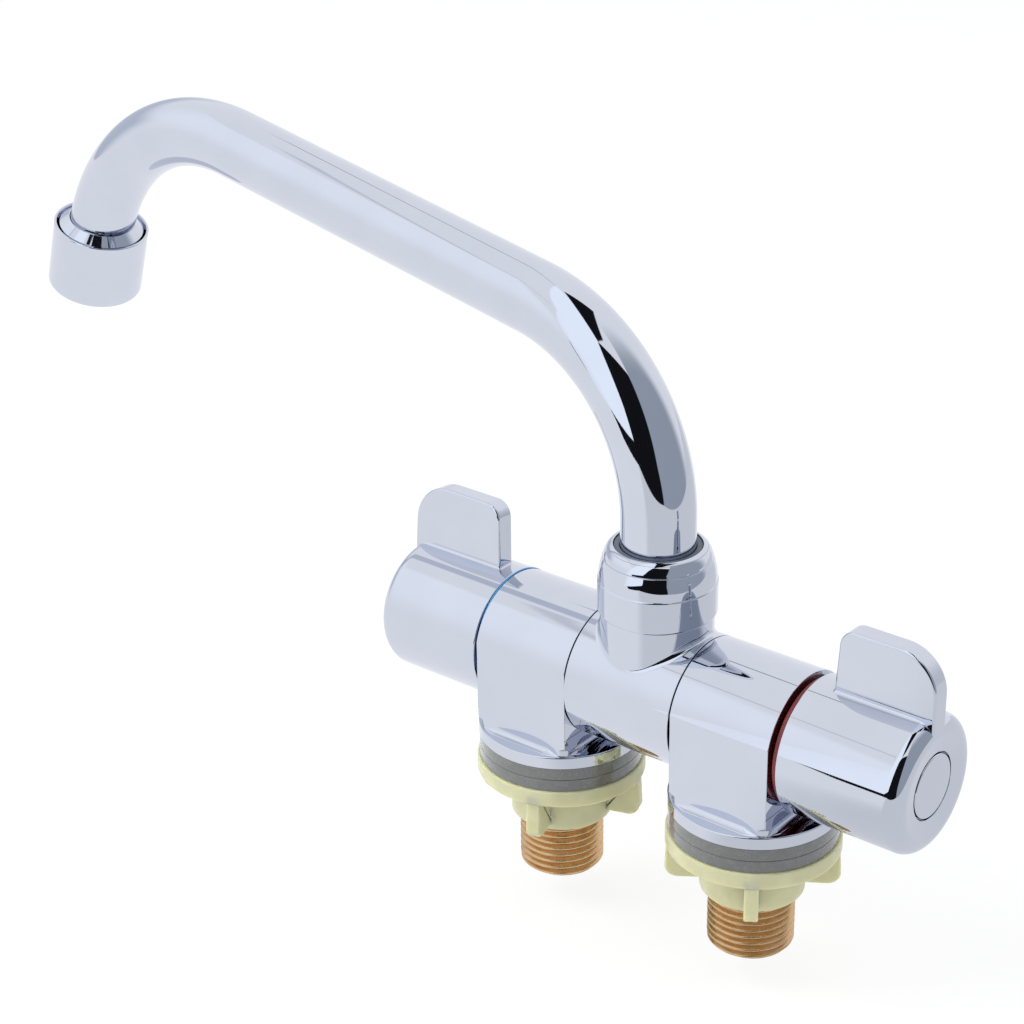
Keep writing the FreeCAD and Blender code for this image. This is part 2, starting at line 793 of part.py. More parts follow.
def make_tab(side, sign):
    """The handle's tab, with rounded corners and a softly rounded rim, in the handle's frame.

    Its inner edge leans outwards. It is turned about the barrel to where the lever stands at rest.
    """
    tab = new_body(f"{side}_handle_tab")
    start = tab_start[side]
    lean = start + dim.tab_lean
    step = dim.handle_bore_depth + OVERRUN
    length = dim.handle_length
    outline = new_sketch(tab, "outline", "XZ_Plane")
    draw_outline(outline, [
        (start, dim.tab_root),
        (step, dim.tab_root),
        (step, dim.tab_outer_root),
        (length, dim.tab_outer_root),
        (length, dim.tab_top),
        (lean, dim.tab_top),
    ])
    padded(tab, "plate", outline, dim.tab_thickness, symmetric=True)
    rounded(tab, "outer_corner", dim.tab_outer_radius, straight_at(x=length, z=dim.tab_top))
    rounded(tab, "inner_corner", dim.tab_inner_radius, straight_at(x=lean, z=dim.tab_top))
    half = dim.tab_thickness.number / 2
    root = dim.tab_root.number

    def rim(edge):
        middle = edge.valueAt((edge.FirstParameter + edge.LastParameter) / 2)
        return near(abs(middle.y), half) and middle.z > root and not near(middle.z, root)

    rounded(tab, "rim", dim.tab_edge_radius, rim)
    turn = -sign * lever_turn[side]
    tab.Placement = FreeCAD.Placement(FreeCAD.Vector(), FreeCAD.Rotation(X_DIRECTION, turn.number))
    tab.setExpression("Placement.Rotation.Angle", turn.words)
    return tab


def make_handle_screw(side, sign, seat_x):
    """Slotted screw that holds the handle on its spindle. Local origin: under its head."""
    screw = new_body(f"{side}_handle_screw")
    turned(screw, "blank", [
        (-dim.screw_reach, 0),
        (-dim.screw_reach, dim.screw_radius),
        (0, dim.screw_radius),
        (0, dim.screw_head_radius),
        (dim.screw_head_thickness, dim.screw_head_radius),
        (dim.screw_head_thickness, 0),
    ])
    slot = new_sketch(screw, "slot_outline", "YZ_Plane", dim.screw_head_thickness)
    half = dim.screw_slot_width / 2
    draw_outline(slot, rectangle(-half, -dim.screw_head_radius, half, dim.screw_head_radius))
    padded(screw, "slot", slot, dim.screw_slot_depth, kind="Pocket")
    place(screw, sign * seat_x, 0, dim.axis_height, turn=90 - 90 * sign)


def make_spindle(side, sign, end):
    """Brass spindle that turns the moving ceramic disc. Both share the cartridge's local frame."""
    spindle = new_body(f"{side}_spindle")
    radius = dim.cavity_radius - dim.running_gap
    foot = moving_disc_start() + dim.disc_thickness + dim.face_gap
    turned(spindle, "shaft", [
        (foot, 0),
        (foot, radius),
        (foot + dim.foot_thickness, radius),
        (foot + dim.foot_thickness, dim.spindle_radius),
        (end, dim.spindle_radius),
        (end, dim.spindle_hole_radius),
        (end - dim.spindle_hole_depth, dim.spindle_hole_radius),
        (end - dim.spindle_hole_depth, 0),
    ])
    place(spindle, sign * cartridge_x, 0, dim.axis_height, turn=90 - 90 * sign)
    disc = new_body(f"{side}_moving_disc")
    draw_disc(disc, radius)
    place(disc, sign * (cartridge_x + moving_disc_start()), 0, dim.axis_height, Y_DIRECTION, 90 * sign)


def make_mixing_tube():
    """Brass tube that joins the side bodies: the centre barrel turns on it, and its ports mix the water."""
    body = new_body("mixing_tube")
    end = seam_x + dim.pivot_entry - dim.face_gap
    groove = dim.pivot_radius - dim.seal_groove_depth
    near_wall = dim.pivot_seal_offset - dim.seal_groove_width / 2
    far_wall = dim.pivot_seal_offset + dim.seal_groove_width / 2
    right = [
        (near_wall, dim.pivot_radius),
        (near_wall, groove),
        (far_wall, groove),
        (far_wall, dim.pivot_radius),
        (end, dim.pivot_radius),
        (end, dim.pivot_bore_radius),
    ]
    left = [(-across, up) for across, up in reversed(right)]
    turned(body, "tube", right + left)
    port = new_sketch(body, "port_outline", "XY_Plane")
    draw_circle(port, 0, 0, dim.pivot_port_radius)
    hole = padded(body, "port", port, dim.pivot_radius, flipped=True, kind="Pocket")
    around(body, "ports", hole, dim.pivot_port_count, "X_Axis")
    place(body, 0, 0, dim.axis_height)
    centre_radius = groove + dim.seal_section_radius
    for side, sign in SIDES:
        seal = o_ring(f"mixing_tube_seal_{side}", centre_radius + dim.seal_gap)
        place(seal, sign * dim.pivot_seal_offset, 0, dim.axis_height, Y_DIRECTION, 90)
        inner = dim.fold_washer_inner_radius
        washer = ring_along(f"{side}_fold_washer", inner, dim.fold_washer_radius, dim.fold_washer_thickness)
        start = seam_x - dim.fold_washer_proud
        place(washer, sign * start, 0, dim.axis_height, Y_DIRECTION, 90 * sign)


def make_centre_barrel():
    """Centre barrel with the spout's neck. Local origin: where the spout axis crosses the barrel axis."""
    body = new_body("centre_barrel")
    half = centre_half_length
    turned(body, "barrel", rectangle(-half, 0, half, dim.barrel_radius))
    turned(body, "neck", [
        (0, 0),
        (dim.neck_radius, 0),
        (dim.neck_radius, dim.neck_top),
        (dim.neck_thread_radius, dim.neck_top),
        (dim.neck_thread_radius, spigot_top),
        (0, spigot_top),
    ], "V_Axis")
    bore = dim.pivot_radius + dim.fit
    groove_half = dim.mixing_groove_half_width
    turned(body, "pivot_bore", [
        (-half, 0),
        (-half, bore),
        (-groove_half, bore),
        (-groove_half, dim.mixing_groove_radius),
        (groove_half, dim.mixing_groove_radius),
        (groove_half, bore),
        (half, bore),
        (half, 0),
    ], "H_Axis", "Groove")
    turned(body, "neck_bore", [
        (0, 0),
        (dim.neck_passage_radius, 0),
        (dim.neck_passage_radius, dim.neck_bore_bottom),
        (dim.neck_bore_radius, dim.neck_bore_bottom),
        (dim.neck_bore_radius, spigot_top),
        (0, spigot_top),
    ], "V_Axis", "Groove")
    place(body, 0, 0, dim.axis_height)


def make_swivel_nut():
    """Ribbed chrome nut that holds the spout down, its slide washer and the guide ring in its mouth."""
    body = new_body("swivel_nut")
    band_top = swivel_nut_bottom + dim.nut_band_height
    waist_top = band_top + dim.nut_waist_height
    turned(body, "nut", [
        (dim.neck_thread_radius + dim.fit, swivel_nut_bottom),
        (dim.nut_band_radius - dim.nut_foot_chamfer, swivel_nut_bottom),
        (dim.nut_band_radius, swivel_nut_bottom + dim.nut_foot_chamfer),
        (dim.nut_band_radius, band_top),
        (dim.nut_waist_radius, band_top),
        (dim.nut_waist_top_radius, waist_top),
        (dim.nut_cap_radius, waist_top),
        (dim.nut_cap_radius, swivel_nut_top),
        (dim.nut_opening_radius, swivel_nut_top),
        (dim.nut_opening_radius, lip_bottom),
        (dim.collar_flange_radius + dim.collar_room, lip_bottom),
        (dim.collar_flange_radius + dim.collar_room, spigot_top),
        (dim.neck_thread_radius + dim.fit, spigot_top),
    ], "V_Axis")
    rounded(body, "cap_edge", dim.nut_cap_round, circle_at(dim.nut_cap_radius, "z", swivel_nut_top))
    place(body, 0, 0, dim.axis_height)
    inner = dim.neck_bore_radius
    washer = ring_along("slide_washer", inner, dim.collar_flange_radius, dim.slide_washer_thickness)
    place(washer, 0, 0, dim.axis_height + spigot_top + dim.face_gap)
    guide = new_body("guide_ring")
    turned(guide, "ring", [
        (dim.tube_radius + dim.fit, flange_top + dim.face_gap),
        (dim.collar_flange_radius, flange_top + dim.face_gap),
        (dim.collar_flange_radius, lip_bottom - dim.face_gap),
        (dim.nut_opening_radius - dim.fit, lip_bottom - dim.face_gap),
        (dim.nut_opening_radius - dim.fit, swivel_nut_top - dim.guide_drop),
        (dim.tube_radius + dim.fit, swivel_nut_top - dim.guide_drop),
    ], "V_Axis")
    place(guide, 0, 0, dim.axis_height)


def make_spout_bush():
    """Brass bush brazed on the tube's lower end, with two seal grooves and a flange under the nut."""
    body = new_body("spout_bush")
    foot = dim.neck_bore_bottom + dim.running_gap
    tube_seat = dim.tube_bottom - dim.axis_height - dim.face_gap
    groove = dim.bush_radius - dim.seal_groove_depth
    half_groove = dim.seal_groove_width / 2
    lower_seal = foot + dim.bush_foot
    upper_seal = lower_seal + dim.bush_seal_spacing
    corners = [(dim.bush_bore_radius, foot), (dim.bush_radius, foot)]
    for height in (lower_seal, upper_seal):
        corners += [(dim.bush_radius, height - half_groove), (groove, height - half_groove)]
        corners += [(groove, height + half_groove), (dim.bush_radius, height + half_groove)]
    corners += [
        (dim.bush_radius, flange_bottom),
        (dim.collar_flange_radius, flange_bottom),
        (dim.collar_flange_radius, flange_top),
        (dim.tube_radius + dim.fit, flange_top),
        (dim.tube_radius + dim.fit, tube_seat),
        (dim.bush_bore_radius, tube_seat),
    ]
    turned(body, "bush", corners, "V_Axis")
    place(body, 0, 0, dim.axis_height)
    centre_radius = groove + dim.seal_section_radius + dim.seal_gap
    for label, height in (("spout_seal_lower", lower_seal), ("spout_seal_upper", upper_seal)):
        place(o_ring(label, centre_radius), 0, 0, dim.axis_height + height)


def draw_spout_path(sketch):
    """Centre line of the spout: riser, first bend, long run, second bend, each tangent to the next."""
    first = dim.first_bend_angle.number
    last = first + dim.second_bend_angle.number
    flow = FreeCAD.Vector(math.sin(math.radians(first)), math.cos(math.radians(first)), 0)
    inward = FreeCAD.Vector(flow.y, -flow.x, 0)
    foot = FreeCAD.Vector(0, dim.tube_bottom.number, 0)
    riser_end = FreeCAD.Vector(0, dim.riser_top.number, 0)
    first_centre = riser_end + FreeCAD.Vector(dim.first_bend_radius.number, 0, 0)
    run_start = first_centre - inward * dim.first_bend_radius.number
    run_end = run_start + flow * dim.long_run.number
    second_centre = run_end + inward * dim.second_bend_radius.number
    riser = sketch.addGeometry(Part.LineSegment(foot, riser_end), False)
    bend = sketch.addGeometry(bend_arc(first_centre, dim.first_bend_radius.number, 0, first), False)
    run = sketch.addGeometry(Part.LineSegment(run_start, run_end), False)
    end_bend = sketch.addGeometry(bend_arc(second_centre, dim.second_bend_radius.number, first, last), False)
    fix_point(sketch, riser, Point.START, 0, dim.tube_bottom)
    fix_point(sketch, riser, Point.END, 0, dim.riser_top)
    joints = (
        (riser, Point.END, bend, Point.END),
        (bend, Point.START, run, Point.START),
        (run, Point.END, end_bend, Point.END),
    )
    for joint in joints:
        sketch.addConstraint(Sketcher.Constraint("Tangent", *joint))
    measures = (
        ("Radius", bend, dim.first_bend_radius),
        ("Distance", run, dim.long_run),
        ("Radius", end_bend, dim.second_bend_radius),
    )
    for kind, geometry, size in measures:
        index = sketch.addConstraint(Sketcher.Constraint(kind, geometry, size.number))
        sketch.setExpression(f"Constraints[{index}]", size.words)
    for geometry, angle in ((bend, dim.first_bend_angle), (end_bend, dim.second_bend_angle)):
        index = sketch.addConstraint(Sketcher.Constraint("Angle", geometry, math.radians(angle.number)))
        sketch.setExpression(f"Constraints[{index}]", angle.words)


def bend_arc(centre, radius, lean_before, lean_after):
    """Arc of a bend that turns the flow from one lean off the vertical to another, in degrees."""
    circle = Part.Circle(centre, Z_DIRECTION, radius)
    return Part.ArcOfCircle(circle, math.radians(180 - lean_after), math.radians(180 - lean_before))


def make_spout_tube():
    """Bent brass tube of the spout, chromed. Local XZ plane: the plane of its bends."""
    body = new_body("spout_tube")
    path = new_sketch(body, "path", "XZ_Plane")
    draw_spout_path(path)
    section = new_sketch(body, "section", "XY_Plane", dim.tube_bottom)
    draw_circle(section, 0, 0, dim.tube_radius)
    draw_circle(section, 0, 0, dim.tube_radius - dim.tube_wall)
    pipe = add_feature(body, "AdditivePipe", "pipe", section)
    pipe.Spine = path
    doc.recompute()
    place(body, turn=dim.spout_heading)


def tip_placement(drop):
    """Where a piece of the spout's end goes: its own +Z points up along the tube's end."""
    lean = dim.first_bend_angle + dim.second_bend_angle
    along = dim.first_bend_radius * (1 - cosine(dim.first_bend_angle))
    along = along + dim.long_run * sine(dim.first_bend_angle)
    along = along + dim.second_bend_radius * (cosine(dim.first_bend_angle) - cosine(lean))
    high = dim.riser_top + dim.first_bend_radius * sine(dim.first_bend_angle)
    high = high + dim.long_run * cosine(dim.first_bend_angle)
    high = high + dim.second_bend_radius * (sine(lean) - sine(dim.first_bend_angle))
    beyond = sized(drop) - dim.tube_entry
    along = along + beyond * sine(lean)
    high = high + beyond * cosine(lean)
    heading = f"rotation(vector(0; 0; 1); {dim.spout_heading.words})"
    tilt = f"rotation(vector(0; 1; 0); {lean.words} - 180)"
    turn = f"placement(vector(0; 0; 0); {heading})"
    words = f"{turn} * placement(vector({along.words}; 0; {high.words}); {tilt})"
    swing = FreeCAD.Placement(FreeCAD.Vector(), FreeCAD.Rotation(Z_DIRECTION, dim.spout_heading.number))
    spot = FreeCAD.Vector(along.number, 0, high.number)
    leaning = FreeCAD.Placement(spot, FreeCAD.Rotation(Y_DIRECTION, lean.number - 180))
    return swing.multiply(leaning), words


def place_at_tip(piece, drop=0):
    """Puts a finished piece of the spout's end, that far below the aerator's rim, and lists it."""
    placement, words = tip_placement(drop)
    piece.Placement = placement
    piece.setExpression("Placement", words)
    sub_parts.append(piece)


def make_spout_end():
    """End fitting brazed on the tube and the aerator screwed on it: housing, washer, insert, screen.

    Local origin: centre of the aerator's rim. Local +Z points up along the tube's end.
    """
    wall_radius = dim.aerator_radius - dim.aerator_wall
    thread = wall_radius - dim.fit
    socket = dim.tube_radius + dim.fitting_clearance
    fitting = new_body("spout_end_fitting")
    turned(fitting, "fitting", [
        (socket, dim.fitting_rise),
        (dim.fitting_top_radius, dim.fitting_rise),
        (thread, -dim.fitting_drop),
        (thread, -dim.fitting_depth),
        (dim.fitting_bore_radius, -dim.fitting_depth),
        (dim.fitting_bore_radius, -(dim.tube_entry + dim.running_gap)),
        (socket, -(dim.tube_entry + dim.running_gap)),
    ], "V_Axis")
    place_at_tip(fitting)
    housing = new_body("aerator_housing")
    lip_top = dim.aerator_lip_thickness - dim.aerator_length
    turned(housing, "housing", [
        (wall_radius, 0),
        (dim.aerator_radius, 0),
        (dim.aerator_radius, -dim.aerator_length),
        (dim.aerator_lip_radius, -dim.aerator_length),
        (dim.aerator_lip_radius, lip_top),
        (wall_radius, lip_top),
    ], "V_Axis")
    rounded(housing, "foot", dim.aerator_edge_radius, circle_at(dim.aerator_radius, "z", -dim.aerator_length))
    rounded(housing, "rim", dim.aerator_rim_radius, circle_at(dim.aerator_radius, "z", 0))
    place_at_tip(housing)
    washer_bottom = dim.fitting_depth + dim.face_gap + dim.aerator_washer_thickness
    bore = dim.aerator_washer_bore_radius
    washer = ring_along("aerator_washer", bore, thread, dim.aerator_washer_thickness)
    place_at_tip(washer, washer_bottom)
    screen_bottom = -lip_top - dim.face_gap
    insert_bottom = screen_bottom - dim.screen_thickness - dim.face_gap
    insert = new_body("aerator_insert")
    face = new_sketch(insert, "face", "XY_Plane")
    draw_circle(face, 0, 0, thread)
    insert_height = insert_bottom - washer_bottom - dim.face_gap
    padded(insert, "block", face, insert_height)
    ports = new_sketch(insert, "port_outline", "XY_Plane")
    draw_circle(ports, dim.insert_hole_offset, 0, dim.insert_hole_radius)
    hole = padded(insert, "port", ports, insert_height, flipped=True, kind="Pocket")
    around(insert, "ports", hole, dim.insert_hole_count)
    place_at_tip(insert, insert_bottom)
    screen = new_body("aerator_screen")
    face = new_sketch(screen, "face", "XY_Plane")
    draw_circle(face, 0, 0, thread)
    padded(screen, "plate", face, dim.screen_thickness)
    first_hole = new_sketch(screen, "middle_outline", "XY_Plane")
    draw_circle(first_hole, 0, 0, dim.screen_hole_radius)
    padded(screen, "middle", first_hole, dim.screen_thickness, flipped=True, kind="Pocket")
    for circle, count in SCREEN_CIRCLES:
        outline = new_sketch(screen, f"outline_{circle}", "XY_Plane")
        draw_circle(outline, circle * dim.screen_pitch, 0, dim.screen_hole_radius)
        hole = padded(screen, f"hole_{circle}", outline, dim.screen_thickness, flipped=True, kind="Pocket")
        around(screen, f"holes_{circle}", hole, sized(count))
    place_at_tip(screen, screen_bottom)


def export_sub_parts():
    """Checks every object of the document, then writes each sub-part's shape to its own file."""
    doc.recompute()
    for item in doc.Objects:
        if "Invalid" in item.State or "Error" in item.State:
            raise RuntimeError(f"{item.Name}: {item.State}")
    for piece in sub_parts:
        if piece.Shape.isNull() or not piece.Shape.isValid():
            raise RuntimeError(f"{piece.Label}: its shape is not valid")
    for piece in sub_parts:
        piece.Shape.exportStep(f"parts/{piece.Label}.step")
        print(f"{piece.Label:24s} solids {len(piece.Shape.Solids)} volume {piece.Shape.Volume:9.1f}")


for side_name, direction in SIDES:
    make_side_body(side_name, direction)
    make_shank(side_name, direction)
    make_deck_washers(side_name, direction)
    make_backnut(side_name, direction)
    make_index_ring(side_name, direction)
    make_cartridge(side_name, direction)
    make_handle(side_name, direction)
make_mixing_tube()
make_centre_barrel()
make_swivel_nut()
make_spout_bush()
make_spout_tube()
make_spout_end()
export_sub_parts()
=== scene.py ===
import json

import bpy
import numpy as np
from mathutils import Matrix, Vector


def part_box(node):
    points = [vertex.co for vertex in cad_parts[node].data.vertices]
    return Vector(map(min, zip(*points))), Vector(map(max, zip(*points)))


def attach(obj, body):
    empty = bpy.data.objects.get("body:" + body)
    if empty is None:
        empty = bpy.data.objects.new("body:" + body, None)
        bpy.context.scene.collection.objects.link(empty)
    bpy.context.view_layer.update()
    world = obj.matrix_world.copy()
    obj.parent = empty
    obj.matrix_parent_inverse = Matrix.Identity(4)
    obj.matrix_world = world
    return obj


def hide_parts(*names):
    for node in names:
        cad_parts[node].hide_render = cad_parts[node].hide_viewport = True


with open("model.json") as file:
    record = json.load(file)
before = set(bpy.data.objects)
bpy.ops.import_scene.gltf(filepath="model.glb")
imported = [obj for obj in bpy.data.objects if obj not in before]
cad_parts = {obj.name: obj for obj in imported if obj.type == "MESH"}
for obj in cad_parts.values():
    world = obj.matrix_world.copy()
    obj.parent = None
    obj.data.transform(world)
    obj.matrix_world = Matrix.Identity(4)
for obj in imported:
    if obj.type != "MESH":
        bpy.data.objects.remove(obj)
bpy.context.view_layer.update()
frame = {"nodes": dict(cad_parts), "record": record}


# Side bodies. Each is one brass casting, a short barrel lying across a square column that ends in
# a round flange on the deck. It is turned, milled flat front and back, polished and chromed.

MM = 0.001
SIDES = {"hot": 1, "cold": -1}
X, Y, Z = np.eye(3)
AXIS_HEIGHT = 21.9
BARREL_RADIUS = 16.65
SIDE_CENTRE = 28.65
HALF_LENGTH = 13.4
HALF_DEPTH = 16.1
ARRIS = 0.3
END_ARRIS = 0.14
END_INSET = END_ARRIS + 0.02
FLANGE_RADIUS = 20.45
FLANGE_THICKNESS = 3.2
CORNER_TRIM = 19.8
TRIM_TOP = 4.8
TRIM_BLEND = 0.02
FOOT_FILLET = 1.5
LEAST_FILLET = 0.05
ROOM_SHARE = 0.8
ROOM_MARGIN = 0.1
JOIN_HEIGHT = 8.0
ARCH_TUCK = 0.02
COLUMN_TUCK = 0.004
CAP_RADIUS = 10
SPIGOT_RADIUS = 13.4
SPIGOT_EXTRA = 1.5
RING_WIDTH = {"hot": 2.0, "cold": 0.3}


def unit(vectors):
    """Each vector over its own length."""
    return vectors / np.linalg.norm(vectors, axis=-1, keepdims=True)


def directions(angles):
    """The cosine and sine of each angle, side by side."""
    return np.stack([np.cos(angles), np.sin(angles)], 1)


def rounded(corners, closed=False):
    """A profile's points and outward normals, from anticlockwise corners (offset, height, radius).

    Each corner becomes an arc that touches both its sides. The arc's centre lies back from the
    corner along one side and in by the radius, and its points are the centre plus the radius times
    a normal that turns evenly from one side to the other. An open profile's ends stay in place.
    """
    spots = np.array([corner[:2] for corner in corners], float)
    points, normals = [], []
    for here, corner in enumerate(corners):
        ahead = unit(spots[(here + 1) % len(spots)] - spots[here])
        behind = unit(spots[here] - spots[here - 1])
        if not closed and here in (0, len(spots) - 1):
            side = ahead if here == 0 else behind
            points.append(spots[here][None])
            normals.append(np.array([[side[1], -side[0]]]))
            continue
        turn = np.arctan2(behind[0] * ahead[1] - behind[1] * ahead[0], behind @ ahead)
        start = np.arctan2(-behind[0], behind[1])
        steps = 4 + int(abs(turn) * np.sqrt(corner[2]) * 5)
        outward = directions(start + turn * np.linspace(0, 1, steps))
        reach = np.sign(turn) * corner[2]
        centre = spots[here] - behind * abs(reach * np.tan(turn / 2)) - reach * outward[0]
        points.append(centre + reach * outward)
        normals.append(outward)
    return np.concatenate(points), np.concatenate(normals)


def carried(profile, base, across, along):
    """A profile carried round an outline: base + offset x across + height x along, with normals."""
    spots, normals = (pair[:, None, :1] * across + pair[:, None, 1:] * along for pair in profile)
    return base + spots, unit(normals)


def turned(profile, centre, along, count):
    """A lathe-turned surface: the profile carried round a circle square to the axis."""
    side = unit(np.cross(Y if abs(along[1]) < 0.9 else X, along))
    angles = np.linspace(0, 2 * np.pi, count, endpoint=False)[:, None]
    around = np.cos(angles) * side + np.sin(angles) * np.cross(along, side)
    return carried(profile, centre, around, along)


def bent(points, closed=False):
    """A grid with its normals: the cross product of the steps between each point's neighbours."""
    rows = np.roll(points, -1, 0) - np.roll(points, 1, 0) if closed else np.gradient(points, axis=0)
    columns = np.roll(points, -1, 1) - np.roll(points, 1, 1)
    return points, unit(np.cross(columns, rows))


def placed(name, data):
    """An object of the given data, put into the scene at the origin."""
    made = bpy.data.objects.new(name, data)
    bpy.context.scene.collection.objects.link(made)
    return made


def piece(name, surfaces, material, body, slot, *nodes):
    """Puts grids into one mesh, rides it on a body, and lets it stand for CAD nodes.

    A grid's columns close round on themselves, and so do its rows unless it is capped at both ends.
    Faces and normals are turned outwards: the volume that the faces enclose, seen from their
    middle, is positive.
    """
    spots, bends, faces = [], [], []
    for (points, normals), closed in surfaces:
        rows, columns = points.shape[:2]
        order = np.arange(rows * columns).reshape(rows, columns)
        lower = order if closed else order[:-1]
        upper = np.roll(order, -1, 0) if closed else order[1:]
        quads = np.stack([lower, np.roll(lower, -1, 1), np.roll(upper, -1, 1), upper], -1)
        quads = quads.reshape(-1, 4)
        flat, bend = points.reshape(-1, 3), normals.reshape(-1, 3)
        corners = flat[quads]
        area = np.cross(corners[:, 2] - corners[:, 0], corners[:, 3] - corners[:, 1])
        outwards = np.sign(np.sum((corners.mean(1) - flat.mean(0)) * area))
        loops = quads.tolist() + ([] if closed else [order[0, ::-1].tolist(), order[-1].tolist()])
        first = sum(map(len, spots))
        faces += [[first + corner for corner in loop[:: int(outwards)]] for loop in loops]
        spots.append(flat)
        bends.append(bend * outwards * np.sign(np.sum(bend[quads[:, 0]] * area)))
    mesh = bpy.data.meshes.new(name)
    mesh.from_pydata((np.concatenate(spots) * MM).tolist(), [], faces)
    mesh.shade_smooth()
    mesh.normals_split_custom_set_from_vertices(np.concatenate(bends).tolist())
    mesh.materials.append(material)
    made = placed(name, mesh)
    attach(made, body)
    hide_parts(*nodes)


def tone(*levels):
    """A colour as it is seen, in levels to 255, as the linear colour that a shader takes."""
    level = np.array(levels) / 255
    return (*np.where(level > 0.04045, ((level + 0.055) / 1.055) ** 2.4, level / 12.92), 1.0)


def finish_of(name, colours, grain, roughness, relief, stretch=(1, 1, 1), **constants):
    """A material whose colour and roughness wander between two values on noise, with a relief.

    The grain is the noise's size in millimetres and the relief its height. Stretch draws the grain
    out along an axis, for turned or drawn surfaces. Other values are the same all over.
    """
    quiet, loud = 0.3, 0.7
    made = bpy.data.materials.new(name)
    made.use_nodes = True
    nodes, link = made.node_tree.nodes, made.node_tree.links.new
    shader = nodes["Principled BSDF"]
    place, scaled = nodes.new("ShaderNodeTexCoord"), nodes.new("ShaderNodeMapping")
    noise, colour = nodes.new("ShaderNodeTexNoise"), nodes.new("ShaderNodeValToRGB")
    rough, bump = nodes.new("ShaderNodeMapRange"), nodes.new("ShaderNodeBump")
    scaled.inputs["Scale"].default_value = [1 / (grain * MM * size) for size in stretch]
    noise.inputs["Scale"].default_value = 1.0
    noise.inputs["Detail"].default_value = 4.0
    for stop, position, levels in zip(colour.color_ramp.elements, (quiet, loud), colours):
        stop.position, stop.color = position, tone(*levels)
    rough.inputs["From Min"].default_value = quiet
    rough.inputs["From Max"].default_value = loud
    rough.inputs["To Min"].default_value = roughness[0]
    rough.inputs["To Max"].default_value = roughness[1]
    bump.inputs["Distance"].default_value = relief * MM
    bump.inputs["Strength"].default_value = 1.0
    link(place.outputs["Object"], scaled.inputs["Vector"])
    link(scaled.outputs["Vector"], noise.inputs["Vector"])
    link(noise.outputs["Fac"], colour.inputs["Fac"])
    link(noise.outputs["Fac"], rough.inputs["Value"])
    link(noise.outputs["Fac"], bump.inputs["Height"])
    link(colour.outputs["Color"], shader.inputs["Base Color"])
    link(rough.outputs["Result"], shader.inputs["Roughness"])
    link(bump.outputs["Normal"], shader.inputs["Normal"])
    for socket, value in constants.items():
        shader.inputs[socket.replace("_", " ")].default_value = value
    return made


chrome = finish_of("polished_chrome", [(207, 211, 222), (210, 214, 225)], 12, (0.02, 0.045),
                   0.0006, Metallic=1.0)


def arch():
    """Outline of the barrel with its two flats, in Y and Z from the barrel's axis, and its normals.

    Each flat runs up to an arris of small radius that touches it and the barrel's circle, and the
    circle carries on over the top from there.
    """
    reach = BARREL_RADIUS - ARRIS
    start = np.arccos((HALF_DEPTH - ARRIS) / reach)
    small = directions(np.linspace(0, start, 6))
    edge = np.array([HALF_DEPTH - ARRIS, reach * np.sin(start)])
    low = np.array([[HALF_DEPTH, JOIN_HEIGHT - AXIS_HEIGHT]])
    right, right_normals = np.concatenate([low, edge + ARRIS * small]), np.vstack([(1, 0), small])
    top = directions(np.linspace(start, np.pi - start, 150))[1:-1]
    left, left_normals = right[::-1] * (-1, 1), right_normals[::-1] * (-1, 1)
    foot = low - (ARCH_TUCK, 0)
    points = np.concatenate([foot, right, top * BARREL_RADIUS, left, foot * (-1, 1)])
    normals = np.concatenate([[[0, -1]], right_normals, top, left_normals, [[0, -1]]])
    return points @ np.array([Y, Z]), normals @ np.array([Y, Z])


def column():
    """Column from the flange to the barrel, as outlines stacked in Z about the body's upright axis.

    Each outline is a rectangle with rounded corners, drawn in to a circle where that is smaller:
    the corners are turned off to one radius low down and to a cone above. The foot spreads on to
    the flange in a hollow quarter round, whose radius is what the flange has room for.
    """
    bend = np.linspace(0, np.pi / 2, 9)
    run = (1 - np.cos(np.pi * np.linspace(0, 1, 46))) / 2
    quarters = np.array([(1, 1), (-1, 1), (-1, -1), (1, -1)])
    corners = quarters * (HALF_LENGTH - ARRIS, HALF_DEPTH - ARRIS)
    spots, turns = [], []
    for quarter, corner in enumerate(corners):
        direction = directions(bend + quarter * np.pi / 2)
        spots.append(corner + ARRIS * direction)
        turns.append(direction)
        start, end = spots[-1][-1], corners[(quarter + 1) % 4] + ARRIS * direction[-1]
        spots.append(start + run[1:-1, None] * (end - start))
        turns.append(np.repeat(direction[-1:], len(run) - 2, 0))
    plan, turns = np.concatenate(spots), np.concatenate(turns)
    distance = np.linalg.norm(plan, axis=1)
    rise = np.concatenate([
        [-0.3], np.linspace(0, FOOT_FILLET, 14), np.linspace(1.55, 1.7, 3),
        np.linspace(1.8, 5.2, 26),
    ])
    heights = FLANGE_THICKNESS + rise
    cone = CORNER_TRIM + np.maximum(heights - TRIM_TOP, 0)
    gap = distance - cone[:, None]
    shorter = distance - (gap + np.sqrt(gap * gap + TRIM_BLEND)) / 2
    room = (CORNER_TRIM + ROOM_MARGIN - shorter) * ROOM_SHARE
    room = np.clip(room, LEAST_FILLET, FOOT_FILLET)
    left = np.clip(room - np.maximum(rise, 0)[:, None], 0, None)
    spread = room - np.sqrt(np.maximum(room**2 - left**2, 0))
    outline = plan * (shorter / distance)[..., None] + turns * spread[..., None]
    heights = heights[:, None, None]
    outline = np.where(heights > JOIN_HEIGHT, outline - turns * COLUMN_TUCK, outline)
    return bent(np.concatenate([outline, np.broadcast_to(heights, gap.shape + (1,))], -1))


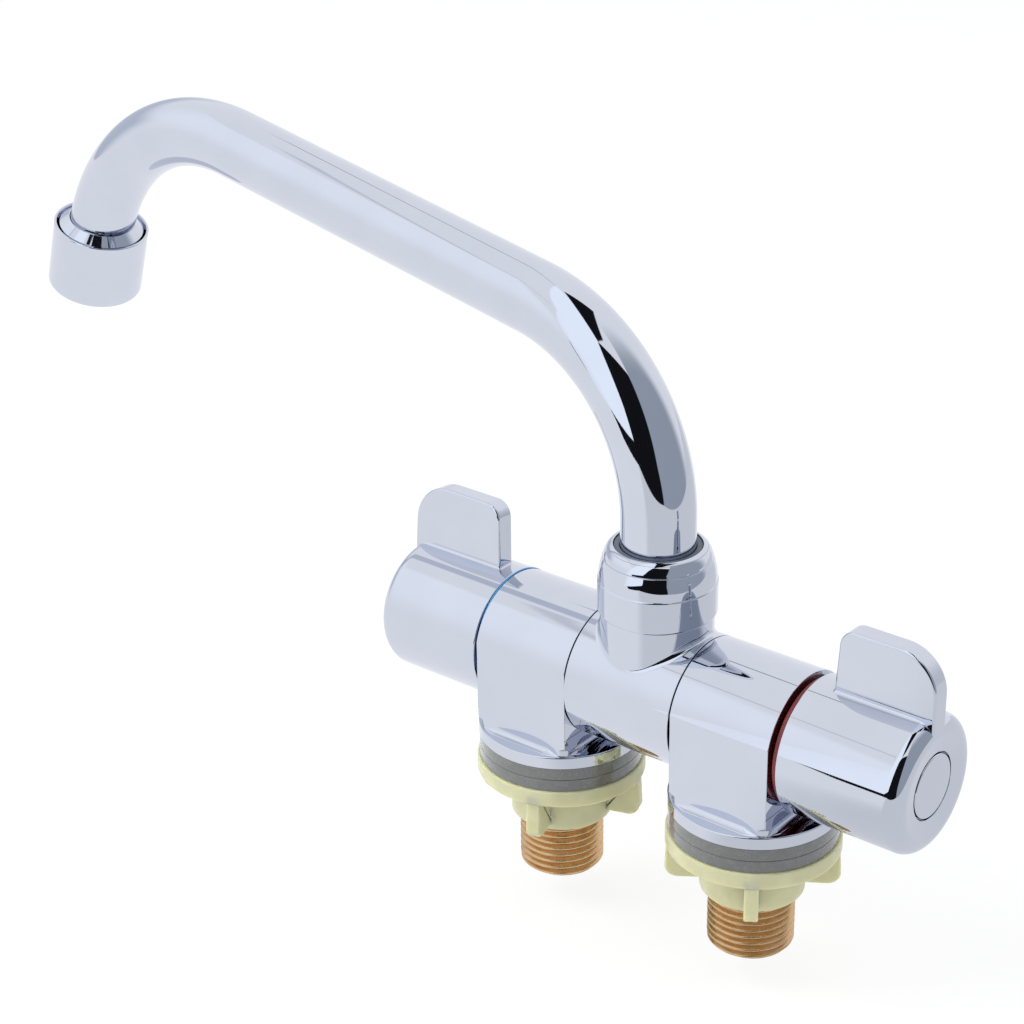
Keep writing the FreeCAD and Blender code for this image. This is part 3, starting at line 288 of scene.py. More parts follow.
for side, sign in SIDES.items():
    middle = np.array([sign * SIDE_CENTRE, 0, 0])
    outline, outline_normals = arch()
    ends = rounded([
        (-END_INSET, -HALF_LENGTH), (0, -HALF_LENGTH, END_ARRIS), (0, HALF_LENGTH, END_ARRIS),
        (-END_INSET, HALF_LENGTH),
    ])
    lifted = carried(ends, middle + AXIS_HEIGHT * Z + outline, outline_normals, X)
    points, normals = column()
    flange = [
        (CAP_RADIUS, 0), (FLANGE_RADIUS, 0, 0.25), (FLANGE_RADIUS, FLANGE_THICKNESS, 0.35),
        (CAP_RADIUS, FLANGE_THICKNESS),
    ]
    reach = HALF_LENGTH + RING_WIDTH[side] + SPIGOT_EXTRA
    spigot = [
        (CAP_RADIUS, 10), (SPIGOT_RADIUS, 10, 0.2), (SPIGOT_RADIUS, reach, 0.3),
        (CAP_RADIUS, reach),
    ]
    piece(f"{side}_side_body", [
        (lifted, False),
        ((points + middle, normals), False),
        (turned(rounded(flange), middle, Z, 240), False),
        (turned(rounded(spigot), middle + AXIS_HEIGHT * Z, sign * X, 120), False),
    ], chrome, "body", "chrome", f"{side}_body")


# Index rings. Each is a turned ring of coloured plastic behind the handle, red on the hot side and
# blue on the cold side. The red one is bevelled towards the body. Both are loose on the spigot, and
# the blue one rides high.

RING_RADIUS = {"hot": 15.4, "cold": 15.65}
RING_LIFT = {"hot": -0.1, "cold": 1.3}
RING_STEP = {"hot": (1.6, 0.8), "cold": (0.1, 0.1)}
RING_BORE = 13.0
BODY_END = SIDE_CENTRE + HALF_LENGTH
RING_COLOURS = {
    "hot": ("red", [(108, 24, 26), (122, 32, 32)]),
    "cold": ("blue", [(58, 142, 202), (74, 156, 212)]),
}
for side, sign in SIDES.items():
    word, colours = RING_COLOURS[side]
    plastic = finish_of(f"{word}_plastic", colours, 2.5, (0.28, 0.4), 0.002, Coat_Weight=0.15)
    width, radius = RING_WIDTH[side], RING_RADIUS[side]
    deep, wide = RING_STEP[side]
    ring = [
        (RING_BORE, 0, 0.05), (radius - deep, 0, 0.05), (radius, wide, 0.05),
        (radius, width, 0.08), (RING_BORE, width, 0.05),
    ]
    centre = np.array([sign * BODY_END, 0, AXIS_HEIGHT + RING_LIFT[side]])
    piece(f"{side}_coloured_ring", [
        (turned(rounded(ring, True), centre, sign * X, 180), True),
    ], plastic, "body", f"{word}_plastic", f"{side}_index_ring")


# Handles. Each is a chromed casting, a barrel that covers the cartridge and carries an upright tab,
# flush with the end's rim and filleted to the barrel. A button pressed into the dished end hides
# the handle's screw. The cold handle stands turned a little open.

HANDLE_LENGTH = 31.2
HANDLE_GAP = 0.3
HANDLE_BORE = 14.0
BORE_DEPTH = 20.0
END_ROUND = 3.8
DISH_RADIUS = 12.4
DISH_DEPTH = 0.75
RECESS_RADIUS = 8.1
BUTTON_RADIUS = 7.65
BUTTON_THICKNESS = 3.3
BUTTON_DEPTH = 0.6
BUTTON_FOOT = HANDLE_LENGTH - BUTTON_DEPTH - BUTTON_THICKNESS
TAB_HALF = 2.55
TAB_TOP = 32.6
TAB_START = {"hot": 5.6, "cold": 4.0}
TAB_LEAN = 1.2
TAB_RIM = 0.6
TAB_INSET = TAB_RIM + 0.25
ROOT_LEAN = TAB_LEAN / 7
ROOT_FILLET = 0.8
ROOT_END = 0.7
ROOT_FADE = 4.5
SINK = 0.3
LEVER_TURN = {"hot": 0.0, "cold": 5.0}


def fillet(centres, first, second, radii):
    """A hollow round between two surfaces, as the path of a ball that touches both.

    Each row is an arc about the ball's centre, turning evenly from its first touching direction to
    its second, and is closed by one point that lies inside the metal where the two surfaces cross.
    """
    angle = np.arccos(np.clip(np.sum(first * second, 1), -1, 1))[:, None]
    part = np.linspace(0, 1, 13)
    weights = np.sin(np.stack([angle * (1 - part), angle * part], -1)) / np.sin(angle)[..., None]
    arc = weights[..., :1] * first[:, None] + weights[..., 1:] * second[:, None]
    sunk = 1.0 + SINK / np.maximum(radii, SINK)
    inside = (first + second)[:, None] * sunk[:, None, None]
    points = centres[:, None] + radii[:, None, None] * np.concatenate([arc, inside], 1)
    return points, np.concatenate([-arc, unit(inside)], 1)


def tab_root(start):
    """The fillet round the tab's root, in the handle's frame: the barrel along X, the tab up Z.

    The ball goes round the tab's foot, from the outer end along one side, round the inner edge and
    back. It rests on the barrel, and on the barrel's end rounding as far as that goes, where it
    shrinks away.
    """
    inner = start + ROOT_LEAN + TAB_RIM
    run = np.linspace(HANDLE_LENGTH - ROOT_FILLET, inner, 90)[:-1]
    bend = np.linspace(0, np.pi / 2, 10)
    x = np.concatenate([run, inner - TAB_RIM * np.sin(bend)])
    y = np.concatenate([run * 0 + TAB_HALF, TAB_HALF - TAB_RIM + TAB_RIM * np.cos(bend)])
    out = np.concatenate([np.stack([run * 0, run * 0 + 1], 1), directions(bend)[:, ::-1] * (-1, 1)])
    x, y = np.concatenate([x, x[::-1]]), np.concatenate([y, -y[::-1]])
    out = np.concatenate([out, out[::-1] * (1, -1)])
    radii = ROOT_FILLET * np.clip((HANDLE_LENGTH - ROOT_END - x) / ROOT_FADE, 0.03, 1) ** 0.7
    ball_x, ball_y = x + out[:, 0] * radii, y + out[:, 1] * radii
    past = np.clip(ball_x - (HANDLE_LENGTH - END_ROUND), 0, None)
    core = BARREL_RADIUS - END_ROUND
    distance = core + np.sqrt((END_ROUND + radii) ** 2 - past**2)
    height = np.sqrt(distance**2 - ball_y**2)
    zero = np.zeros_like(x)
    spoke = np.stack([zero, ball_y, height], 1) / distance[:, None]
    ring = spoke * core + np.stack([ball_x - past, zero, zero], 1)
    centres = np.stack([ball_x, ball_y, height], 1)
    return fillet(centres, np.stack([-out[:, 0], -out[:, 1], zero], 1), unit(ring - centres), radii)


for side, sign in SIDES.items():
    start = np.array([sign * (BODY_END + RING_WIDTH[side] + HANDLE_GAP), 0, AXIS_HEIGHT])
    barrel = [
        (13.0, BORE_DEPTH), (HANDLE_BORE, BORE_DEPTH, 0.3), (HANDLE_BORE, 0, 0.25),
        (BARREL_RADIUS, 0, 0.3), (BARREL_RADIUS, HANDLE_LENGTH, END_ROUND),
        (DISH_RADIUS, HANDLE_LENGTH, 3.0), (RECESS_RADIUS, HANDLE_LENGTH - DISH_DEPTH, 0.15),
        (RECESS_RADIUS, BUTTON_FOOT, 0.1), (7.0, BUTTON_FOOT),
    ]
    inner = TAB_START[side]
    tab = rounded([
        (inner, 14.0, 0.3), (HANDLE_LENGTH - 3, 12.2, 0.1), (HANDLE_LENGTH - 0.3, 12.2, 0.1),
        (HANDLE_LENGTH, 12.9, 0.1), (HANDLE_LENGTH, TAB_TOP, 10.0),
        (inner + TAB_LEAN, TAB_TOP, 4.2),
    ], True)
    rim = rounded([
        (-TAB_INSET, -TAB_HALF), (0, -TAB_HALF, TAB_RIM), (0, TAB_HALF, TAB_RIM),
        (-TAB_INSET, TAB_HALF),
    ])
    lever = np.radians(LEVER_TURN[side])
    tilt = np.array([
        X, np.cos(lever) * Y - np.sin(lever) * Z, np.sin(lever) * Y + np.cos(lever) * Z,
    ])
    flip = np.array([sign, 1, 1])
    spots, outward = (pair @ np.array([sign * X, Z]) @ tilt for pair in tab)
    root, root_normals = tab_root(inner)
    piece(f"{side}_lever_handle", [
        (turned(rounded(barrel), start, sign * X, 200), False),
        (carried(rim, start + spots, outward, Y @ tilt), False),
        ((start + root * flip @ tilt, root_normals * flip @ tilt), False),
    ], chrome, f"{side}_handle", "chrome", f"{side}_handle")
    button = [
        (6.0, 0.05), (BUTTON_RADIUS, 0.05, 0.1), (BUTTON_RADIUS, BUTTON_THICKNESS, 0.35),
        (6.0, BUTTON_THICKNESS),
    ]
    piece(f"{side}_end_button", [
        (turned(rounded(button), start + sign * BUTTON_FOOT * X, sign * X, 120), False),
    ], chrome, f"{side}_handle", "chrome", f"{side}_index_button")


# Centre barrel. It is a chromed casting that turns between the side bodies on the mixing tube, so
# that the spout folds down. Its neck stands up from the barrel in a hollow fillet, which is tight
# at the two sides and wider in front and behind.

CENTRE_HALF = 14.95
CENTRE_ARRIS = 0.13
NECK_RADIUS = 13.5
NECK_TOP = 42.5
NECK_BORE = 9.95
NECK_FILLET = 0.7
NECK_SPREAD = 1.8
THREAD_TOP = 51.4


def neck_root():
    """The fillet round the neck's root: its ball rests on the neck and on the barrel across it."""
    turn = np.linspace(0, 2 * np.pi, 240, endpoint=False)
    around, zero = directions(turn), np.zeros_like(turn)
    radii = NECK_FILLET + NECK_SPREAD * np.abs(np.sin(turn)) ** 1.5
    centre = around * (NECK_RADIUS + radii)[:, None]
    height = np.sqrt((BARREL_RADIUS + radii) ** 2 - centre[:, 1] ** 2)
    inwards = np.column_stack([-around, zero])
    downwards = -np.stack([zero, centre[:, 1], height], 1) / (BARREL_RADIUS + radii)[:, None]
    return fillet(np.column_stack([centre, height + AXIS_HEIGHT]), inwards, downwards, radii)


barrel = [
    (12.0, -CENTRE_HALF), (BARREL_RADIUS, -CENTRE_HALF, CENTRE_ARRIS),
    (BARREL_RADIUS, CENTRE_HALF, CENTRE_ARRIS), (12.0, CENTRE_HALF),
]
neck = [
    (9, 27), (NECK_RADIUS, 27, 0.2), (NECK_RADIUS, NECK_TOP, 0.3), (12.0, NECK_TOP, 0.2),
    (12.0, THREAD_TOP, 0.4), (NECK_BORE, THREAD_TOP, 0.2), (NECK_BORE, 33.5, 0.2), (8, 33.5),
]
piece("swinging_barrel", [
    (turned(rounded(barrel), AXIS_HEIGHT * Z, X, 200), False),
    (turned(rounded(neck), 0 * Z, Z, 200), False),
    (neck_root(), True),
], chrome, "centre", "chrome", "centre_barrel")


# Swivel nut. It is turned from brass and chromed, with a plain band to grip and two bulging tiers
# above it that step in to its mouth, and it holds the spout down on the neck.

nut = [
    (12.15, 42.55, 0.1), (14.16, 42.55, 0.45), (14.16, 50.55, 0.45), (13.95, 50.75, 0.05),
    (13.86, 53.2, 16), (12.97, 56.1, 0.12), (12.72, 56.17, 0.04), (12.85, 56.3, 0.05),
    (12.5, 57.9, 4.2), (11.3, 59.1, 2.6), (10.45, 59.45, 0.25), (10.45, 56.35, 0.1),
    (12.15, 56.35, 0.1),
]
piece("round_swivel_nut", [
    (turned(rounded(nut, True), 0 * Z, Z, 220), True),
], chrome, "centre", "chrome", "swivel_nut")


# Guide ring. It is a ring of dark moulded plastic in the nut's mouth, which keeps the tube from
# touching the metal as the spout turns.

low, high = (corner.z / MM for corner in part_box("guide_ring"))
dark_plastic = finish_of("dark_plastic", [(84, 91, 104), (100, 107, 122)], 1.5, (0.35, 0.5), 0.004)
guide = [
    (8.95, low, 0.1), (11.2, low, 0.1), (11.2, 56.3, 0.1), (10.4, 56.3, 0.1), (10.4, high, 0.3),
    (8.95, high, 0.3),
]
piece("mouth_guide_ring", [
    (turned(rounded(guide, True), 0 * Z, Z, 160), True),
], dark_plastic, "centre", "dark_plastic", "guide_ring")


# Spout tube. It is thin brass tube bent twice in one plane, polished and chromed. Its foot turns in
# the neck, and its other end carries the ferrule.

TUBE_RADIUS = 8.9
TUBE_WALL = 1.0
TUBE_FOOT = 44.0
TUBE_STEPS = [(0, 21.5), (45.2, 81.2), (0, 104.8), (55.0, 81.75), (0, 0.01)]
HEADING = np.radians(175.57)
FORWARD = np.array([np.cos(HEADING), np.sin(HEADING), 0])


def tube_path():
    """The tube's middle line in its plane, with its direction's angle from upright: up, over, down.

    A step without a radius goes straight on by its length. One with a radius turns by its degrees
    about a centre square to the path.
    """
    spot, angle, steps = np.array([0.0, TUBE_FOOT]), 0.0, []
    for radius, amount in TUBE_STEPS:
        part = np.linspace(0, 1, 90 if radius else 12)[:, None]
        if radius:
            angles = np.radians(angle + amount * part)
            aside = np.array([np.cos(np.radians(angle)), -np.sin(np.radians(angle))])
            centre = spot + radius * aside
            line = centre - radius * np.concatenate([np.cos(angles), -np.sin(angles)], 1)
            angle += amount
        else:
            angles = np.radians(angle) + 0 * part
            line = spot + amount * part * np.concatenate([np.sin(angles), np.cos(angles)], 1)
        steps.append(np.concatenate([line, angles], 1)[:-1])
        spot = line[-1]
    return np.concatenate(steps)


path = tube_path()
line = path[:, :1] * FORWARD + path[:, 1:2] * Z
over = np.cos(path[:, 2:]) * FORWARD - np.sin(path[:, 2:]) * Z
sideways = np.cross(Z, FORWARD)
turn = np.linspace(0, 2 * np.pi, 112, endpoint=False)[:, None]
spokes = np.cos(turn) * over[:, None] + np.sin(turn) * sideways
outer = line[:, None] + TUBE_RADIUS * spokes
inner = line[::-1, None] + (TUBE_RADIUS - TUBE_WALL) * spokes[::-1]
piece("bent_spout_tube", [
    ((np.concatenate([outer, inner]), np.concatenate([spokes, -spokes[::-1]])), True),
], chrome, "spout", "chrome", "spout_tube")


# Aerator. A chromed conical ferrule is brazed to the tube's end and screws into the housing, a
# turned cup with a bright lip at its mouth. Its strainer and jet plate sit inside, where water
# leaves.

RIM_RISE = 3.6
upwards = -np.sin(path[-1, 2]) * FORWARD - np.cos(path[-1, 2]) * Z
rim_centre = line[-1] + RIM_RISE * upwards
housing = [
    (9.6, -19.7, 0.2), (12.9, -19.7, 1.8), (12.97, 0, 0.3), (12.35, 0, 0.12), (11.8, -1.3, 0.1),
    (11.57, -3.0, 0.1), (11.57, -17.2, 0.2), (9.6, -17.2, 0.2),
]
ferrule = [
    (7.0, -8.0, 0.1), (11.52, -8.0, 0.1), (11.52, -0.35, 0.2), (9.2, 1.8, 0.1), (8.94, 1.8, 0.05),
    (8.94, -3.9, 0.1), (7.0, -3.9, 0.1),
]
piece("aerator_cup", [
    (turned(rounded(housing, True), rim_centre, upwards, 200), True),
], chrome, "spout", "chrome", "aerator_housing")
piece("spout_ferrule", [
    (turned(rounded(ferrule, True), rim_centre, upwards, 160), True),
], chrome, "spout", "chrome", "spout_end_fitting")


# Threaded shanks. Each is a brass tube left unplated, with a parallel pipe thread cut along it, and
# is screwed up into the body. Water comes up its bore from the supply.

THREAD_RADIUS = 10.4775
THREAD_PITCH = 1.814
THREAD_DEPTH = 1.162
THREAD_END = 7.9
CREST_SHARE = 0.22
ROUNDING = 0.35
CHAMFER_RADIUS = 9.5
SHANK_BORE = 7.25
SHANK_BOTTOM = -37.6
SHANK_TOP = 8.7
raw_brass = finish_of("raw_brass", [(200, 163, 120), (219, 187, 145)], 3, (0.2, 0.36), 0.004,
                      (1, 1, 0.4), Metallic=1.0)


def threaded(centre, count):
    """A tube with a cut thread, as rings that climb outside, cross the top and go down the bore.

    The outside is the crest's radius less the thread's depth times a rounded wave, whose phase is
    the height over the pitch less the turn over a full circle, so that the grooves climb as a
    helix.
    """
    turn = np.linspace(0, 2 * np.pi, count, endpoint=False)
    foot = np.array([
        [SHANK_BORE - 0.05, SHANK_BOTTOM + 0.05], [SHANK_BORE, SHANK_BOTTOM],
        [CHAMFER_RADIUS - 0.1, SHANK_BOTTOM], [CHAMFER_RADIUS, SHANK_BOTTOM + 0.02],
    ])
    rise = np.linspace(SHANK_BOTTOM + 0.1, THREAD_END, 300)
    chamfer = np.minimum(THREAD_RADIUS, CHAMFER_RADIUS + rise - SHANK_BOTTOM)
    head = np.array([
        [10.4, SHANK_TOP - 0.05], [10.35, SHANK_TOP], [SHANK_BORE, SHANK_TOP],
        [SHANK_BORE - 0.05, SHANK_TOP - 0.05], [SHANK_BORE - 0.05, 0],
    ])
    base = np.concatenate([foot, np.stack([chamfer, rise], 1), head])
    offset, height = base[:, :1], base[:, 1:]
    phase = height / THREAD_PITCH - turn / (2 * np.pi)
    wave = 1 - 2 * np.abs(phase - np.floor(phase) - 0.5)
    groove = np.clip((wave - CREST_SHARE) / (1 - CREST_SHARE), 0, 1)
    groove = groove * groove * (3 - 2 * groove) * ROUNDING + groove * (1 - ROUNDING)
    cut = np.where(height > THREAD_END, THREAD_RADIUS, THREAD_RADIUS - THREAD_DEPTH * groove)
    radius = np.minimum(offset, cut)
    points = [radius * np.cos(turn), radius * np.sin(turn), height + 0 * turn]
    return bent(np.stack(points, -1) + centre, True)


for side, sign in SIDES.items():
    piece(f"{side}_threaded_shank", [
        (threaded(np.array([sign * SIDE_CENTRE, 0, 0]), 128), True),
    ], raw_brass, "body", "raw_brass", f"{side}_shank")


# Rubber washers. Two thick grey rubber rings lie under each flange, one above and one below the
# deck, cut from sheet, so that their faces are smooth and their edges a little matt.

WASHER_RADIUS = 20.3
WASHER_BORE = 10.8
WASHER_THICKNESS = 3.12
FACE_GAP = 0.05
grey_rubber = finish_of("grey_rubber", [(94, 96, 94), (105, 107, 105)], 2.5, (0.2, 0.32), 0.003,
                        IOR=1.6, Coat_Weight=1.0, Coat_Roughness=0.08, Sheen_Weight=1.0,
                        Sheen_Roughness=0.25, Sheen_Tint=(0.8, 0.93, 1.0, 1.0))
for side, sign in SIDES.items():
    clamp_top = -WASHER_THICKNESS - FACE_GAP
    for label, top, body in [("deck", 0, "body"), ("clamp", clamp_top, f"{side}_clamp")]:
        low = top - WASHER_THICKNESS
        washer = [
            (WASHER_BORE, low, 0.2), (WASHER_RADIUS, low, 0.15), (WASHER_RADIUS, top, 0.15),
            (WASHER_BORE, top, 0.2),
        ]
        piece(f"{side}_{label}_rubber", [
            (turned(rounded(washer, True), np.array([sign * SIDE_CENTRE, 0, 0]), Z, 180), True),
        ], grey_rubber, body, "grey_rubber", f"{side}_{label}_washer")


# Backnuts. Each is moulded in cream nylon, slightly see-through, with a flange that presses the
# washers to the deck, a threaded collar, and four wings to turn it by hand.

NUT_TOP = -2 * (WASHER_THICKNESS + FACE_GAP)
NUT_HEIGHT = 16.0
NUT_BORE = 10.53
NUT_RADIUS = 20.9
NUT_FLANGE = 4.2
COLLAR_RADIUS = 12.6
NUT_TURN = {"hot": 32.8, "cold": 17.6}
WING_ROOT = 11.5
WING_REACH = 21.0
WING_TOP_REACH = 20.4
WING_BOTTOM = -14.3
WING_TOP = -2.1
WING_HALF = 1.7
WING_RIM = 0.45
WING_INSET = 0.6
cream_plastic = finish_of("cream_plastic", [(201, 199, 160), (210, 209, 170)], 5, (0.3, 0.42),
                          0.006, Subsurface_Weight=0.6, Subsurface_Scale=0.004,
                          Subsurface_Radius=(1.0, 0.95, 0.45))
for side, sign in SIDES.items():
    centre = np.array([sign * SIDE_CENTRE, 0, NUT_TOP])
    nut = [
        (NUT_BORE, -NUT_HEIGHT, 0.3), (COLLAR_RADIUS, -NUT_HEIGHT, 0.6),
        (COLLAR_RADIUS, -NUT_FLANGE, 0.5), (NUT_RADIUS, -NUT_FLANGE, 0.5), (NUT_RADIUS, 0, 0.4),
        (NUT_BORE, 0, 0.3),
    ]
    wing = rounded([
        (WING_ROOT, WING_BOTTOM, 0.3), (WING_REACH, WING_BOTTOM, 3.0),
        (WING_TOP_REACH, WING_TOP, 0.5), (WING_ROOT, WING_TOP, 0.3),
    ], True)
    edge = rounded([
        (-WING_INSET, -WING_HALF), (0, -WING_HALF, WING_RIM), (0, WING_HALF, WING_RIM),
        (-WING_INSET, WING_HALF),
    ])
    surfaces = [(turned(rounded(nut, True), centre, Z, 180), True)]
    for quarter in range(4):
        angle = np.radians(NUT_TURN[side] + 90 * quarter)
        spoke = np.array([np.cos(angle), np.sin(angle), 0])
        spots, outward = (pair @ np.array([spoke, Z]) for pair in wing)
        surfaces.append((carried(edge, centre + spots, outward, np.cross(Z, spoke)), False))
    piece(f"{side}_winged_nut", surfaces, cream_plastic, f"{side}_backnut", "cream_plastic",
          f"{side}_backnut")


# Inner parts. The mixing tube, cartridges, discs, seals, screws and strainer keep their own shapes,
# and each takes the finish of what it is turned, moulded, sintered or woven from.

INNER = {
    "brass": finish_of("turned_brass", [(196, 158, 88), (208, 172, 104)], 3, (0.14, 0.24), 0.002,
                       Metallic=1.0),
    "steel": finish_of("stainless_steel", [(176, 176, 178), (192, 192, 194)], 1, (0.2, 0.34), 0.002,
                       Metallic=1.0),
    "black_rubber": finish_of("black_rubber", [(28, 28, 29), (40, 40, 41)], 0.8, (0.45, 0.65),
                              0.01),
    "white_plastic": finish_of("white_plastic", [(224, 224, 220), (233, 233, 230)], 3, (0.3, 0.42),
                               0.004),
    "ceramic": finish_of("lapped_ceramic", [(222, 219, 208), (231, 228, 219)], 0.6, (0.1, 0.18),
                         0.001),
    "chrome": chrome,
    "raw_brass": raw_brass,
    "grey_rubber": grey_rubber,
    "cream_plastic": cream_plastic,
    "dark_plastic": dark_plastic,
}
for part in frame["record"]["subparts"]:
    node = frame["nodes"][part["node"]]
    if part["material_slot"] in INNER:
        node.data.materials.clear()
        node.data.materials.append(INNER[part["material_slot"]])


# Floor. It is a wide sheet of white studio paper, just below the lowest place that the backnuts
# reach. The camera sees it evenly lit and white, with the faucet's soft shadow on it. Metal doesn't
# mirror it.

FLOOR_HALF = 6.0
NUT_TRAVEL = 25.0
JUST_BELOW = 0.0002
FIBRE_SCALE = 300.0
GLOW_SHARE = 0.8
GLOW = 1.04
low = (NUT_TOP - NUT_HEIGHT - NUT_TRAVEL) * MM - JUST_BELOW
sheet = bpy.data.meshes.new("paper_floor")
sheet.from_pydata([
    (-FLOOR_HALF, -FLOOR_HALF, low), (FLOOR_HALF, -FLOOR_HALF, low),
    (FLOOR_HALF, FLOOR_HALF, low), (-FLOOR_HALF, FLOOR_HALF, low),
], [], [(0, 1, 2, 3)])
floor = placed("paper_floor", sheet)
paper = bpy.data.materials.new("white_paper")
paper.use_nodes = True
nodes, link = paper.node_tree.nodes, paper.node_tree.links.new
shader, output = nodes["Principled BSDF"], nodes["Material Output"]
shader.inputs["Roughness"].default_value = 0.9
shader.inputs["Specular IOR Level"].default_value = 0.1
fibre_place, fibre = nodes.new("ShaderNodeTexCoord"), nodes.new("ShaderNodeTexNoise")
fibre.inputs["Scale"].default_value = FIBRE_SCALE
fibre_tone = nodes.new("ShaderNodeMix")
fibre_tone.data_type = "RGBA"
fibre_tone.inputs["A"].default_value = (0.86, 0.86, 0.86, 1)
fibre_tone.inputs["B"].default_value = (0.90, 0.90, 0.90, 1)
seen, share = nodes.new("ShaderNodeLightPath"), nodes.new("ShaderNodeMath")
share.operation = "MULTIPLY"
share.inputs[1].default_value = GLOW_SHARE
glow, blend = nodes.new("ShaderNodeEmission"), nodes.new("ShaderNodeMixShader")
glow.inputs["Strength"].default_value = GLOW
link(fibre_place.outputs["Object"], fibre.inputs["Vector"])
link(fibre.outputs["Fac"], fibre_tone.inputs["Factor"])
link(fibre_tone.outputs["Result"], shader.inputs["Base Color"])
link(seen.outputs["Is Camera Ray"], share.inputs[0])
link(share.outputs["Value"], blend.inputs["Fac"])
link(shader.outputs["BSDF"], blend.inputs[1])
link(glow.outputs["Emission"], blend.inputs[2])
link(blend.outputs["Shader"], output.inputs["Surface"])
sheet.materials.append(paper)
floor.visible_glossy = False


# Light tent. White cloth stands round the faucet, with seams, a dark opening for the camera and a
# grey side at the right. Metal mirrors all of it, and other surfaces are lit evenly.

WHITE, PALE, BRIGHT = (0.97, 0.98, 1.0), (1.06, 1.1, 1.15), (1.12, 1.19, 1.27)
BLACK, GREY, SHADE = (0.008, 0.008, 0.01), (0.38, 0.42, 0.48), (0.6, 0.65, 0.74)
SEAM, DARK_SEAM = (0.72, 0.75, 0.8), (0.3, 0.31, 0.34)
EVEN_LIGHT = (0.62, 0.63, 0.65)
world = bpy.data.worlds.new("light_tent")
bpy.context.scene.world = world
world.use_nodes = True
nodes, link = world.node_tree.nodes, world.node_tree.links.new
background = nodes["Background"]
background.inputs["Strength"].default_value = 1.0
direction = nodes.new("ShaderNodeTexCoord").outputs["Generated"]
tent = {"colour": None}


def towards(azimuth, elevation):
    """The direction of a point of the tent, from its azimuth and elevation in degrees."""
    a, e = np.radians(azimuth), np.radians(elevation)
    return np.array([np.cos(e) * np.cos(a), np.cos(e) * np.sin(a), np.sin(e)])


def cloth(corners, colour, softness):
    """A patch of the tent with straight sides, over what is there already.

    Each side is a plane through the faucet and two corners. The patch is where a direction lies
    inside all of them, with a smooth step across each side as wide as the softness.
    """
    mask = None
    spots = [towards(*corner) for corner in corners]
    softness = np.broadcast_to(softness, len(spots))
    for here, spot in enumerate(spots):
        plane, inside, step = (nodes.new(kind) for kind in (
            "ShaderNodeCombineXYZ", "ShaderNodeVectorMath", "ShaderNodeMapRange"))
        inwards = unit(np.cross(spot, spots[(here + 1) % len(spots)]))
        for axis, value in zip("XYZ", inwards):
            plane.inputs[axis].default_value = value
        inside.operation = "DOT_PRODUCT"
        step.interpolation_type = "SMOOTHSTEP"
        step.inputs["From Min"].default_value = -softness[here]
        step.inputs["From Max"].default_value = softness[here]
        link(direction, inside.inputs[0])
        link(plane.outputs["Vector"], inside.inputs[1])
        link(inside.outputs["Value"], step.inputs["Value"])
        if mask is None:
            mask = step.outputs["Result"]
        else:
            both = nodes.new("ShaderNodeMath")
            both.operation = "MULTIPLY"
            link(mask, both.inputs[0])
            link(step.outputs["Result"], both.inputs[1])
            mask = both.outputs["Value"]
    layer = nodes.new("ShaderNodeMix")
    layer.data_type = "RGBA"
    layer.inputs["A"].default_value = (*WHITE, 1)
    if tent["colour"] is not None:
        link(tent["colour"], layer.inputs["A"])
    layer.inputs["B"].default_value = (*colour, 1)
    link(mask, layer.inputs["Factor"])
    tent["colour"] = layer.outputs["Result"]


cloth([(-176, 12), (-110, 12), (-113, 45), (-145, 51), (-176, 57)], PALE,
      (0.3, 0.15, 0.03, 0.03, 0.3))
cloth([(-113, 44.4), (-113, 45.4), (-145, 51.4), (-145, 50.4)], SEAM, 0.006)
cloth([(-145, 50.4), (-145, 51.4), (-178, 57.4), (-178, 56.2)], SEAM, 0.006)
cloth([(140, 46), (141.3, 46), (149.5, 77), (147, 77)], DARK_SEAM, 0.003)
cloth([(-109, 45), (-65, 55), (-43, 63), (148, 77)], BRIGHT, (0.004, 0.01, 0.004, 0.01))
cloth([(136, -10), (-168, -10), (-168, 16), (136, 16)], SHADE, (0.12, 0.2, 0.12, 0.2))
cloth([(-121, -40), (-34, -40), (-25, 47), (-65, 55), (-96, 34), (-113, 8), (-117.2, -5)], BLACK,
      (0.01, 0.012, 0.008, 0.01, 0.005, 0.005, 0.005))
cloth([(-32, -24), (50, -24), (52, 45), (-10.5, 65), (-38, 3)], GREY, (0.03, 0.22, 0.3, 0.02, 0.02))
cloth([(-65, 55), (-43, 63), (67, 68), (130, 80)], BLACK, (0.01, 0.008, 0.01, 0.008))

even, sight = nodes.new("ShaderNodeMix"), nodes.new("ShaderNodeMix")
light_path, clear = nodes.new("ShaderNodeLightPath"), nodes.new("ShaderNodeMath")
clear.operation = "MAXIMUM"
for mixer in (even, sight):
    mixer.data_type = "RGBA"
even.inputs["A"].default_value = (*EVEN_LIGHT, 1)
sight.inputs["B"].default_value = (1, 1, 1, 1)
link(light_path.outputs["Is Glossy Ray"], even.inputs["Factor"])
link(tent["colour"], even.inputs["B"])
link(even.outputs["Result"], sight.inputs["A"])
link(light_path.outputs["Is Camera Ray"], clear.inputs[0])
link(light_path.outputs["Is Transmission Ray"], clear.inputs[1])
link(clear.outputs["Value"], sight.inputs["Factor"])
link(sight.outputs["Result"], background.inputs["Color"])


# Cards. A white table under the shanks ends at a straight front edge, and a bright panel leans in
# front of it at the left. They stand near enough for their edges to shift from piece to piece, and
# only metal sees them.

TABLE_SHADE = (0.78, 0.79, 0.82)
PANEL_PALE = (1.06, 1.1, 1.16)
PANEL_DISTANCE = -0.62


